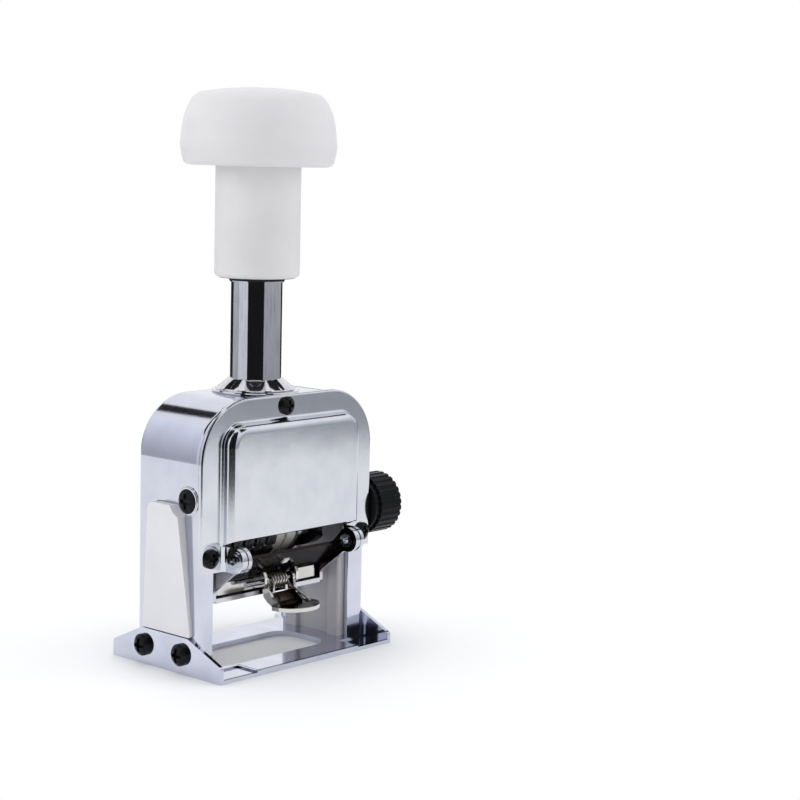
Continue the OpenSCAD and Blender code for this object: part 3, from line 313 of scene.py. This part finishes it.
def carrier_material():
    """Bright nickel on the outer faces, the arms' edges and the strap, and painted shade and dark reflection
    in black-brown on the inner faces.

    The strap's front face between the latch's lugs gets that painted shade too.
    """
    n = Net("carrier_sheet")
    x, _, z = n.axes()
    nx, ny, _ = n.normal()
    outward = n.above(n.math("MULTIPLY", n.math("SIGN", x), nx), 0.5)
    edge = n.within(nx, 0.5)
    in_arm = n.above(n.math("ABSOLUTE", n.math("ADD", x, ARM_SHIFT / 2 * MM)), ARM_HALF * MM)
    beside_lugs = n.above(n.math("ABSOLUTE", x), LUG_HALF * MM)
    in_strap = n.both(n.below(z, STRAP_TOP * MM), n.either(beside_lugs, n.above(ny, -0.5)))
    unshaded = n.either(outward, n.both(edge, n.either(in_arm, in_strap)))
    grain = n.noise(0.5, 4.0, 0.65, seed=12.0)
    bright = n.mix(grain, lin((226, 227, 234)), lin((196, 196, 204)))
    # dark is painted shade and dark reflection for the inner faces
    dark = n.blend(grain, (0.4, 0.85), (28, 23, 20), (68, 56, 48), most=0.5)
    n.color(n.mix(unshaded, dark, bright))
    n.set(metal=0.85)
    return n.finish(grain, (0.1, 0.24), 0.005)


def lever_material():
    """Polished rims and cheeks, with the web and the dish of the tab darkened."""
    n = Net("latch_nickel")
    x, y, z = n.axes()
    web = n.both(n.within(x, LEVER_IN * MM), n.above(y, (LATCH_Y - WEB_REACH) * MM))
    dish = n.both(n.above(n.normal()[2], 0.7), n.below(z, (LATCH_Z - DISH_DROP) * MM))
    grain = n.noise(0.8, 4.0, 0.65, seed=18.0)
    bright = n.mix(grain, lin((228, 227, 226)), lin((200, 197, 193)))
    dark = n.blend(grain, (0.35, 0.85), (58, 46, 42), (120, 106, 98), most=0.7)
    n.color(n.mix(n.either(web, dish), bright, dark))
    n.set(metal=0.95)
    return n.finish(grain, (0.1, 0.24), 0.008)


def washer_material():
    """A bright washer with a black disc where the eyelet's rim sits."""
    n = Net("pivot_washer")
    black = n.below(n.radius(PIVOT_Y, PIVOT_Z), EYELET_RIM_R)
    grain = n.noise(0.5, 3.0, 0.6, seed=19.0)
    n.color(n.mix(black, lin((214, 216, 226)), n.mix(grain, lin((16, 16, 18)), lin((34, 34, 38)))))
    n.link(n.math("SUBTRACT", 1.0, n.math("MULTIPLY", black, 0.8)), n.bsdf.inputs["Metallic"])
    return n.finish(grain, (0.12, 0.25), 0.004)


def felt_material():
    """Ink-soaked felt: matted fibres, blue-black, with drier fibre tips."""
    n = Net("ink_felt")
    fibre = n.noise(0.35, 6.0, 0.75, seed=13.0, stretch=(2.2, 0.8, 1.0))
    soaked = n.blend(n.noise(5.0, 4.0, 0.6, seed=14.0), (0.3, 0.7), (26, 24, 33), (60, 54, 62))
    n.color(n.mix(n.ramp(fibre, [(0.5, 0.0), (0.85, 0.6)]), soaked, lin((96, 88, 90))))
    n.set(sheen=0.4, spec=0.25)
    n.roughness(fibre, 0.7, 0.95)
    n.bump((fibre, 0.12), (n.noise(1.2, 3.0, 0.6, seed=15.0), 0.15))
    return n.mat


def type_material():
    """Inked raised digits with rubbed crests."""
    n = Net("type_face")
    grain = n.noise(0.3, 4.0, 0.65, seed=16.0)
    n.color(n.blend(grain, (0.4, 0.8), (34, 34, 37), (92, 92, 96), most=0.7))
    n.set(metal=0.8)
    return n.finish(grain, (0.3, 0.5), 0.01)


def wire_material():
    """Drawn spring wire."""
    n = Net("spring_wire")
    grain = n.noise(0.4, 3.0, 0.6, seed=17.0, stretch=(4, 1, 1))
    n.color(n.mix(grain, lin((232, 228, 222)), lin((172, 165, 157))))
    n.set(metal=1.0)
    return n.finish(grain, (0.15, 0.3), 0.006)


housing_mat = plated("housing_plate", (214, 216, 230), (205, 207, 222), (0.08, 0.15), 0.02,
                     grain=(14, 1, 14), grain_depth=0.009)
cover_mat = plated("cover_plate", (218, 221, 228), (207, 210, 219), (0.08, 0.16), 0.03,
                   grain_size=0.45, grain_depth=0.006)
# the base plate gets a painted dark line of shade and reflection along its front edge
base_mat = plated("base_plate", (214, 217, 232), (198, 202, 218), (0.06, 0.14), 0.03,
                  shade_mask=front_edge, shade_col=EDGE_LINE_SHADE)
tube_mat = plated("tube_chrome", (224, 223, 229), (208, 207, 215), (0.03, 0.09), 0.01,
                  grain=(1, 1, 16), grain_size=0.5, grain_depth=0.002, streak=0.5)
# the tray is painted dark at its foot and on its front wall between the lugs, as shade
tray_mat = plated("tray_nickel", (226, 225, 224), (202, 199, 195), (0.06, 0.16), 0.02, shade_mask=tray_corners)
frame_mat = plated("carriage_sheet", (168, 170, 176), (130, 132, 140), (0.2, 0.38), 0.03)
ring_mat = turned("eyelet_plate", (224, 226, 232), (196, 199, 208), "X", (0.06, 0.14))
steel_mat = turned("turned_steel", (190, 191, 195), (150, 152, 158), "X", (0.18, 0.34))
rod_mat = turned("plunger_steel", (190, 191, 195), (150, 152, 158), "Z", (0.18, 0.34))
brass_mat = turned("brass_insert", (190, 160, 96), (150, 122, 70), "Z", (0.2, 0.35))
# the light plastic is painted darker on the guides inside the walls, as shade
light_mat = moulded("light_plastic", (221, 220, 223), (213, 212, 215), shade_mask=ink_mist)
cap_mat = moulded("cap_plastic", (220, 218, 219), (214, 212, 213), (0.42, 0.52), sub=0.06)
sleeve_mat = moulded("sleeve_plastic", (219, 217, 217), (212, 210, 210), (0.42, 0.52))
mark_mat = moulded("white_mark", (252, 252, 250), (244, 243, 240), (0.5, 0.6))
screw_mat = moulded("black_screw", (14, 14, 16), (24, 24, 27), (0.16, 0.3), spec=0.14, grain=0.5, depth=0.01)
knob_mat = moulded("black_plastic", (13, 14, 17), (20, 21, 25), (0.26, 0.4), spec=0.12, grain=0.3)
rubber_mat = moulded("rubber", (38, 38, 38), (50, 50, 50), (0.6, 0.8), spec=0.3, grain=0.4, depth=0.02)
dark_mat = blackened("blued_steel", (34, 34, 38), (120, 120, 130), (0.2, 0.35))
wheel_mat = wheel_material()
carrier_mat = carrier_material()
lever_mat = lever_material()
washer_mat = washer_material()
wire_mat = wire_material()
felt_mat = felt_material()
digit_mat = type_material()

LOOKS = {
    "base_plate": base_mat, "housing": housing_mat, "front_cover": cover_mat, "rear_cover": cover_mat,
    "guide_insert_left": light_mat, "guide_insert_right": light_mat, "base_screws": screw_mat,
    "front_cover_screws": screw_mat, "rear_cover_screws": screw_mat, "wall_screw": screw_mat,
    "wall_screw_cup": ring_mat, "barrel": tube_mat, "barrel_flange": tube_mat, "barrel_nut": tube_mat,
    "pivot_eyelets": ring_mat, "pivot_washers": washer_mat, "pivot_bushes": ring_mat,
    "selector_bush": ring_mat, "knob_cap": cap_mat, "knob_insert": brass_mat, "handle_sleeve": sleeve_mat,
    "plunger_rod": rod_mat, "return_spring": wire_mat, "rod_nuts": rod_mat, "buffer_washer": rubber_mat,
    "carriage_frame": frame_mat, "tie_rod": steel_mat, "wheel_shaft": steel_mat, "spacer_disc": steel_mat,
    "click_springs": frame_mat, "repeat_ratchet": dark_mat, "repeat_cams": dark_mat,
    "pawl_frame": frame_mat, "pawl_comb": frame_mat, "carrier_frame": carrier_mat, "ink_tray": tray_mat,
    "ink_pad": felt_mat, "latch_pin": steel_mat, "latch_spring": wire_mat, "latch_lever": lever_mat,
    "selector_knob": knob_mat, "selector_shaft": steel_mat,
}
for i in range(WHEEL_COUNT):
    LOOKS["number_wheel_%d" % (i + 1)] = wheel_mat
for name, obj in nodes.items():
    for slot in obj.material_slots:
        slot.material = LOOKS[name]


# ---------------------------------------------------------------- camera, floor and lights

# The camera fitted to the photograph: degrees from the front towards the left, up and round its own axis,
# its place in millimetres, and its focal length in pixels of the photograph
CAMERA_TURN, CAMERA_RISE, CAMERA_ROLL = 48.281, 7.272, 1.382
CAMERA_PLACE = (-323.61, -334.73, 121.98)
FOCAL_PX, PHOTO_PX, SENSOR_MM = 1926.162, 800, 36

FLOOR_HALF = 4000
# The floor's shading fades out from this radius in metres, at this rate per metre
FADE_FROM, FADE_RATE = 0.035, 22.0
# The world's own light, apart from the white backdrop
SKY_COLOR, SKY_STRENGTH = (0.95, 0.97, 1.0, 1.0), 0.85

# Soft lamps, which the plating doesn't mirror: place and size in metres, and watts
LAMP_AIM = Vector((0, 0, 0.06))
LAMPS = (
    ("key", (-0.80, 0.35, 0.50), (0.5, 0.5), 1.8),
    ("fill", (0.75, -0.50, 0.45), (0.5, 0.6), 1.8),
    ("top", (0.0, 0.1, 0.95), (0.7, 0.7), 2.2),
)

# What the plating mirrors: distance in millimetres, turn about Z in degrees (0 is +X and 90 the back),
# height in millimetres, and the glow at the foot and at the top
CURTAINS = (
    ("near_front", 250, (187, 260), (0, 700), (0.012, 0.02)),
    ("horizon", 560, (6, 102), (0, 82), (0.02, 0.02)),
    ("left_wall", 400, (100, 141), (0, 349), (0.45, 1.0)),
    ("left_front_wall", 400, (141, 187), (0, 349), (0.72, 1.0)),
    ("left_high", 400, (125, 170), (360, 1500), (0.03, 0.03)),
    ("front_wall", 370, (-100, 6), (0, 270), (0.33, 0.95)),
    ("front_high", 400, (-78, -38), (360, 1500), (0.03, 0.03)),
    ("bend_band", 700, (81, 99), (540, 830), (0.015, 0.015)),
    ("ceiling", 300, (15, 77), (560, 1150), (0.02, 0.02)),
    ("crest_line", 700, (4, 20), (607, 838), (0.015, 0.015)),
    ("flange_left", 700, (86, 103), (834, 1316), (0.02, 0.02)),
    ("flange_right", 700, (-14, 6), (840, 1600), (0.02, 0.02)),
    ("flange_right_low", 700, (-1, 5), (650, 840), (0.02, 0.02)),
)


def make_camera():
    """The camera of the photograph."""
    turn, rise, roll = (math.radians(a) for a in (CAMERA_TURN, CAMERA_RISE, CAMERA_ROLL))
    back = Vector((-math.sin(turn) * math.cos(rise), -math.cos(turn) * math.cos(rise), math.sin(rise)))
    level = Vector((0, 0, 1)).cross(back).normalized()
    plumb = back.cross(level)
    right = math.cos(roll) * level + math.sin(roll) * plumb
    up = -math.sin(roll) * level + math.cos(roll) * plumb
    camera = bpy.data.objects.new("camera", bpy.data.cameras.new("camera"))
    camera.data.sensor_width = SENSOR_MM
    camera.data.lens = FOCAL_PX / PHOTO_PX * SENSOR_MM
    camera.data.clip_start = 0.01
    turned_axes = Matrix((right, up, back)).transposed().to_4x4()
    camera.matrix_world = Matrix.Translation(Vector(CAMERA_PLACE) * MM) @ turned_axes
    bpy.context.scene.collection.objects.link(camera)
    bpy.context.scene.camera = camera


def add_object(name, mesh, mat, smooth=True):
    """Puts a mesh in the scene, in one material."""
    obj = bpy.data.objects.new(name, mesh)
    mesh.materials.append(mat)
    bpy.context.scene.collection.objects.link(obj)
    for face in mesh.polygons:
        face.use_smooth = smooth
    return obj


def mesh_object(name, verts, faces, mat, smooth=True):
    """An object from points in millimetres and faces."""
    mesh = bpy.data.meshes.new(name)
    mesh.from_pydata([Vector(v) * MM for v in verts], [], faces)
    mesh.update()
    return add_object(name, mesh, mat, smooth)


def open_rays(tree):
    """1 for a ray that the eye follows, straight on, mirrored or through glass, and 0 for one that lights."""
    path = tree.nodes.new("ShaderNodeLightPath")
    total = path.outputs["Is Camera Ray"]
    for key in ("Is Glossy Ray", "Is Transmission Ray"):
        add = tree.nodes.new("ShaderNodeMath")
        add.operation = "ADD"
        add.use_clamp = True
        tree.links.new(total, add.inputs[0])
        tree.links.new(path.outputs[key], add.inputs[1])
        total = add.outputs[0]
    return total


def make_floor():
    """A pale floor. Beyond the object's shadow it looks as white as the backdrop, also in mirrors."""
    n = Net("floor")
    grain = n.noise(3.0, 2.0, 0.5, seed=20.0)
    n.color(n.mix(grain, (0.93, 0.93, 0.93, 1), (0.95, 0.95, 0.95, 1)))
    n.set(spec=0.2)
    n.roughness(grain, 0.5, 0.6)
    x, y, _ = n.axes()
    far = n.math("SQRT", n.math("ADD", n.math("MULTIPLY", x, x), n.math("MULTIPLY", y, y)))
    fade = n.math("MULTIPLY", n.math("SUBTRACT", far, FADE_FROM), FADE_RATE, clamp=True)
    white = n.add("ShaderNodeEmission")
    white.inputs["Color"].default_value = WHITE
    shown = n.add("ShaderNodeMixShader")
    n.link(n.both(fade, open_rays(n.tree)), shown.inputs[0])
    n.link(n.bsdf.outputs[0], shown.inputs[1])
    n.link(white.outputs[0], shown.inputs[2])
    n.link(shown.outputs[0], n.out.inputs["Surface"])
    signs = ((-1, -1), (1, -1), (1, 1), (-1, 1))
    corners = [(right * FLOOR_HALF, back * FLOOR_HALF, 0) for right, back in signs]
    floor = mesh_object("floor", corners, [(0, 1, 2, 3)], n.mat, False)


def make_world():
    """Soft light from all round, behind a backdrop that the eye and mirrors see as white."""
    world = bpy.data.worlds.new("studio")
    bpy.context.scene.world = world
    world.use_nodes = True
    tree = world.node_tree
    tree.nodes.clear()
    out = tree.nodes.new("ShaderNodeOutputWorld")
    mix = tree.nodes.new("ShaderNodeMixShader")
    tree.links.new(open_rays(tree), mix.inputs[0])
    for socket, color, strength in ((1, SKY_COLOR, SKY_STRENGTH), (2, WHITE, 1.0)):
        sky = tree.nodes.new("ShaderNodeBackground")
        sky.inputs["Color"].default_value = color
        sky.inputs["Strength"].default_value = strength
        tree.links.new(sky.outputs[0], mix.inputs[socket])
    tree.links.new(mix.outputs[0], out.inputs["Surface"])


def area(name, place, size, power):
    """A soft lamp aimed at the machine."""
    data = bpy.data.lights.new(name, "AREA")
    data.shape = "RECTANGLE"
    data.size, data.size_y = size
    data.energy = power
    lamp = bpy.data.objects.new(name, data)
    lamp.location = place
    lamp.rotation_euler = (LAMP_AIM - Vector(place)).to_track_quat("-Z", "Y").to_euler()
    lamp.visible_glossy = False
    bpy.context.scene.collection.objects.link(lamp)


def curtain(name, distance, turn, height, glow):
    """A curved strip round the set that only reflections see. Its glow changes from the foot to the top."""
    n = Net(name)
    low, high = (z * MM for z in height)
    climb = n.math("DIVIDE", n.math("SUBTRACT", n.axes()[2], low), high - low, clamp=True)
    foot, top = (tuple(shade * t for t in STUDIO_TINT) + (1.0,) for shade in glow)
    light = n.add("ShaderNodeEmission")
    n.link(n.ramp(climb, [(0.0, foot), (1.0, top)]), light.inputs["Color"])
    n.link(light.outputs[0], n.out.inputs["Surface"])
    steps = 32
    angles = [math.radians(turn[0] + (turn[1] - turn[0]) * i / steps) for i in range(steps + 1)]
    verts = [(distance * math.cos(a), distance * math.sin(a), z) for z in height for a in angles]
    faces = [(i, i + 1, steps + 2 + i, steps + 1 + i) for i in range(steps)]
    strip = mesh_object(name, verts, faces, n.mat)
    strip.visible_camera = False
    strip.visible_diffuse = False
    strip.visible_shadow = False


make_camera()
make_floor()
make_world()
for lamp_values in LAMPS:
    area(*lamp_values)
for curtain_values in CURTAINS:
    curtain(*curtain_values)


# ---------------------------------------------------------------- pieces

# The digits' font size, half thickness and depth in the type, in millimetres, and what their width, height
# and thickness are multiplied by
DIGIT_SIZE, DIGIT_RISE, DIGIT_SINK = 4.4, 0.18, 0.05
DIGIT_WIDE, DIGIT_TALL, DIGIT_DEEP = 0.80, 0.82, 1.2
# Degrees from digit to digit, and the turn of the four left wheels and of the two right ones
DIGIT_STEP, TURN_LEFT, TURN_RIGHT = 30, 165, 250
LEFT_WHEELS = 4

# The felt pad's grid, and the radius of its edges
PAD_GRID, PAD_EDGE = (64, 24, 6), 1.1
# The felt under the block's top, in millimetres: how far it is pressed down, and how much lower its rim is
FELT_SINK, FELT_CROWN = 0.10, 0.11
# Two kinds of unevenness: height in millimetres, and radians per millimetre along x and y
FELT_DIPS, FELT_WAVES = (0.05, 3.1, 2.3), (0.04, 1.1, 1.7)

# The latch spring's ends along the pin, its radius and its wire's, in millimetres
COIL_X, COIL_R, WIRE_R = (-3.4, 1.2), 1.8, 0.29
# Its coils, the degree at which they begin, and the steps in a coil
COILS, COIL_START, COIL_STEPS = 5, 120, 36

# The window mark's middle, its tilt in degrees, and half its width and half its thickness
MARK_Y, MARK_Z, MARK_TILT = -10.23, 23.85, -43.7
MARK_HALF, MARK_HALF_T = 0.75, 0.3

# In the sleeve's mouth: the top over the sleeve's foot, the height, the width and the look
MOUTH_RINGS = (
    ("mouth_ring", 0.3, 1.05, 0.4, rubber_mat, "rubber"),
    ("mouth_bead", -0.75, 0.3, 0.25, ring_mat, "turned_steel"),
    # the last ring is a dark disc put as painted shade of the sleeve's hollow underside
    ("mouth_shade_disc", 0.05, 0.15, 2.9, rubber_mat, "rubber"),
)
MOUTH_GAP = 0.12    # from the barrel to the rings

# The flange's closed profile, as radius and height: a disc, a step and a straight cone
FLANGE_BORE, FLANGE_TOP = 6.26, 3.4
FLANGE_PROFILE = (
    (FLANGE_BORE, FLANGE_TOP), (FLANGE_BORE, 0.0), (10.4, 0.0), (10.58, 0.2), (10.58, 0.42), (10.4, 0.6),
    (9.7, 0.6), (9.7, 0.95), (9.55, 1.1), (9.2, 1.1), (6.65, 3.3), (6.5, FLANGE_TOP),
)


def hide_behind(obj, node, body):
    """The piece moves with the body and stands for the node."""
    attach(obj, body)
    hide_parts(node)


def baked(data):
    """The mesh of a curve or a text."""
    obj = bpy.data.objects.new("baking", data)
    bpy.context.scene.collection.objects.link(obj)
    bpy.context.view_layer.update()
    mesh = bpy.data.meshes.new_from_object(obj.evaluated_get(bpy.context.evaluated_depsgraph_get()))
    bpy.data.objects.remove(obj)
    return mesh


def wire_piece(name, points, radius, mat):
    """A round wire through points in millimetres."""
    curve = bpy.data.curves.new(name, "CURVE")
    curve.dimensions = "3D"
    curve.bevel_depth = radius * MM
    curve.bevel_resolution = 4
    curve.use_fill_caps = True
    spline = curve.splines.new("POLY")
    spline.points.add(len(points) - 1)
    for knot, point in zip(spline.points, points):
        knot.co = (*(Vector(point) * MM), 1.0)
    return add_object(name, baked(curve), mat)


def lathe(name, profile, foot, mat, steps=128):
    """A ring round the handle's axis, from a closed profile of radius and height above the foot."""
    count = len(profile)
    turns = [2 * math.pi * i / steps for i in range(steps)]
    verts = [(r * math.cos(a), HANDLE_Y + r * math.sin(a), foot + z) for a in turns for r, z in profile]
    faces = []
    for i in range(steps):
        here, there = count * i, count * ((i + 1) % steps)
        for k in range(count):
            after = (k + 1) % count
            faces.append((here + k, there + k, there + after, here + after))
    ring = mesh_object(name, verts, faces, mat)
    ring.data.set_sharp_from_angle(angle=math.radians(20))
    return ring


def digit_shapes():
    """The points in millimetres and the faces of the digits 0 to 9."""
    shapes = []
    for digit in range(10):
        text = bpy.data.curves.new("digit", "FONT")
        text.body = str(digit)
        text.size = DIGIT_SIZE * MM
        text.align_x = "CENTER"
        text.align_y = "CENTER"
        text.extrude = DIGIT_RISE * MM
        text.resolution_u = 3
        mesh = baked(text)
        shapes.append(([v.co / MM for v in mesh.vertices], [tuple(p.vertices) for p in mesh.polygons]))
    return shapes


def on_type(point, x_mid, angle):
    """A digit's point on its wheel: its x runs along the shaft, mirrored, and its y round the wheel."""
    a = angle + point.y * DIGIT_TALL / TYPE_R
    r = TYPE_R - DIGIT_SINK + max(point.z, 0.0) * DIGIT_DEEP
    return (x_mid - point.x * DIGIT_WIDE, WHEEL_Y + r * math.cos(a), WHEEL_Z + r * math.sin(a))


def make_digits():
    """Raised reversed digits on the type of every number wheel."""
    shapes = digit_shapes()
    for wheel in range(WHEEL_COUNT):
        x_mid = WHEELS_LEFT + wheel * WHEEL_PITCH + RATCHET_W + DRUM_W / 2
        turn = TURN_LEFT if wheel < LEFT_WHEELS else TURN_RIGHT
        verts, faces = [], []
        for step in range(10):
            angle = math.radians(DIGIT_STEP * step + turn)
            points, polygons = shapes[(step + wheel) % 10]
            start = len(verts)
            verts += [on_type(point, x_mid, angle) for point in points]
            faces += [tuple(start + i for i in polygon) for polygon in polygons]
        digits = mesh_object("type_%d" % (wheel + 1), verts, faces, digit_mat, False)
        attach(digits, "wheel_%d" % (wheel + 1))


def rounded(p, low, high):
    """Moves a point of a block's side or top onto its rounded edges."""
    inner = Vector((max(low.x + PAD_EDGE, min(high.x - PAD_EDGE, p.x)),
                    max(low.y + PAD_EDGE, min(high.y - PAD_EDGE, p.y)),
                    min(high.z - PAD_EDGE, p.z)))
    off = p - inner
    reach = max(abs(off.x), abs(off.y), abs(off.z))
    if reach < 1e-6:
        return p
    return inner + off.normalized() * reach


def felt_wear(p, low, size, phase):
    """How far the felt lies under the block's top at a point."""
    u = (p.x - low.x) / size.x * 2 - 1
    v = (p.y - low.y) / size.y * 2 - 1
    crown = FELT_CROWN * (u ** 4 + v ** 4)
    height, along, across = FELT_DIPS
    dips = height * math.sin(along * p.x + phase[0]) * math.sin(across * p.y + phase[1])
    height, along, across = FELT_WAVES
    waves = height * math.sin(along * p.x + phase[2]) * math.cos(across * p.y + phase[3])
    return FELT_SINK + crown + dips + waves


def block_faces(number):
    """The six sides of the pad's grid as quads that face outwards."""
    faces = []
    for axis in range(3):
        b, c = (axis + 1) % 3, (axis + 2) % 3
        for end in (0, PAD_GRID[axis]):
            for i, j in itertools.product(range(PAD_GRID[b]), range(PAD_GRID[c])):
                ring = [(i, j), (i + 1, j), (i + 1, j + 1), (i, j + 1)]
                if end == 0:
                    ring = [ring[0], ring[3], ring[2], ring[1]]
                places = [{axis: end, b: u, c: v} for u, v in ring]
                faces.append(tuple(number[p[0], p[1], p[2]] for p in places))
    return faces


def make_pad():
    """The felt pad: a crowned block with soft edges and shallow dips."""
    low, high = (Vector(corner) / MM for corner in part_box("ink_pad")[:2])
    size = high - low
    draws = random.Random(4)
    phase = [draws.uniform(0, 6.28) for _ in range(4)]
    number, verts = {}, []
    for place in itertools.product(*(range(n + 1) for n in PAD_GRID)):
        if not any(i in (0, n) for i, n in zip(place, PAD_GRID)):
            continue
        p = Vector([a + s * i / n for a, s, i, n in zip(low, size, place, PAD_GRID)])
        if place[2] > 0:
            p = rounded(p, low, high)
        if place[2] == PAD_GRID[2]:
            p.z -= felt_wear(p, low, size, phase)
        number[place] = len(verts)
        verts.append(p)
    pad = mesh_object("felt_pad", verts, block_faces(number), felt_mat)
    hide_behind(pad, "ink_pad", "ink_carrier")


def make_latch_spring():
    """The latch spring: a short leg down, the coils round the pin and a long leg out to the lever's tab."""
    left, right = COIL_X
    steps = COILS * COIL_STEPS
    points = [(left - 0.1, -2.1, -2.7), (left - 0.1, -2.2, -0.6), (left - 0.05, -1.75, 0.6)]
    for i in range(steps + 1):
        a = math.radians(COIL_START - 360 * i / COIL_STEPS)
        x = left + (right - left) * i / steps
        points.append((x, COIL_R * math.cos(a), COIL_R * math.sin(a)))
    points += [(right + 0.05, -1.6, 0.5), (right + 0.1, -2.1, -0.5), (right + 0.15, -2.9, -1.2),
               (right - 0.2, -9.5, -3.4), (right - 0.2, -10.0, -3.9)]
    points = [(x, LATCH_Y + y, LATCH_Z + z) for x, y, z in points]
    wire = wire_piece("latch_wire", points, WIRE_R, wire_mat)
    hide_behind(wire, "latch_spring", "ink_carrier")


def make_window_mark():
    """The pale mark in the sloping plate's window."""
    tilt = Matrix.Rotation(math.radians(MARK_TILT), 3, "X")
    signs = [(x, y, z) for z in (-1, 1) for y in (-1, 1) for x in (-1, 1)]
    corners = [Vector((x * MARK_HALF, y * MARK_HALF, z * MARK_HALF_T)) for x, y, z in signs]
    verts = [Vector((0, MARK_Y, MARK_Z)) + tilt @ corner for corner in corners]
    faces = [(0, 2, 3, 1), (4, 5, 7, 6), (0, 1, 5, 4), (2, 6, 7, 3), (0, 4, 6, 2), (1, 3, 7, 5)]
    mark = mesh_object("window_mark", verts, faces, mark_mat, False)
    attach(mark, "ink_carrier")


def make_mouth_rings():
    """The dark ring, the thin bright one under it and a dark disc put as painted shade of the sleeve's hollow
    underside, in the sleeve's mouth.
    """
    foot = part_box("handle_sleeve")[0][2] / MM
    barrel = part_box("barrel")
    inner = (barrel[1][0] - barrel[0][0]) / 2 / MM + MOUTH_GAP
    for name, top, height, width, mat, slot in MOUTH_RINGS:
        bottom, outer = top - height, inner + width
        profile = [(inner, top), (inner, bottom), (outer, bottom), (outer, top)]
        ring = lathe(name, profile, foot, mat)
        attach(ring, "plunger")


def make_flange():
    """The flange at the barrel's foot."""
    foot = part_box("barrel_flange")[0][2] / MM
    flange = lathe("flange", FLANGE_PROFILE, foot, tube_mat)
    hide_behind(flange, "barrel_flange", "body")


make_digits()
make_pad()
make_latch_spring()
make_window_mark()
make_mouth_rings()
make_flange()
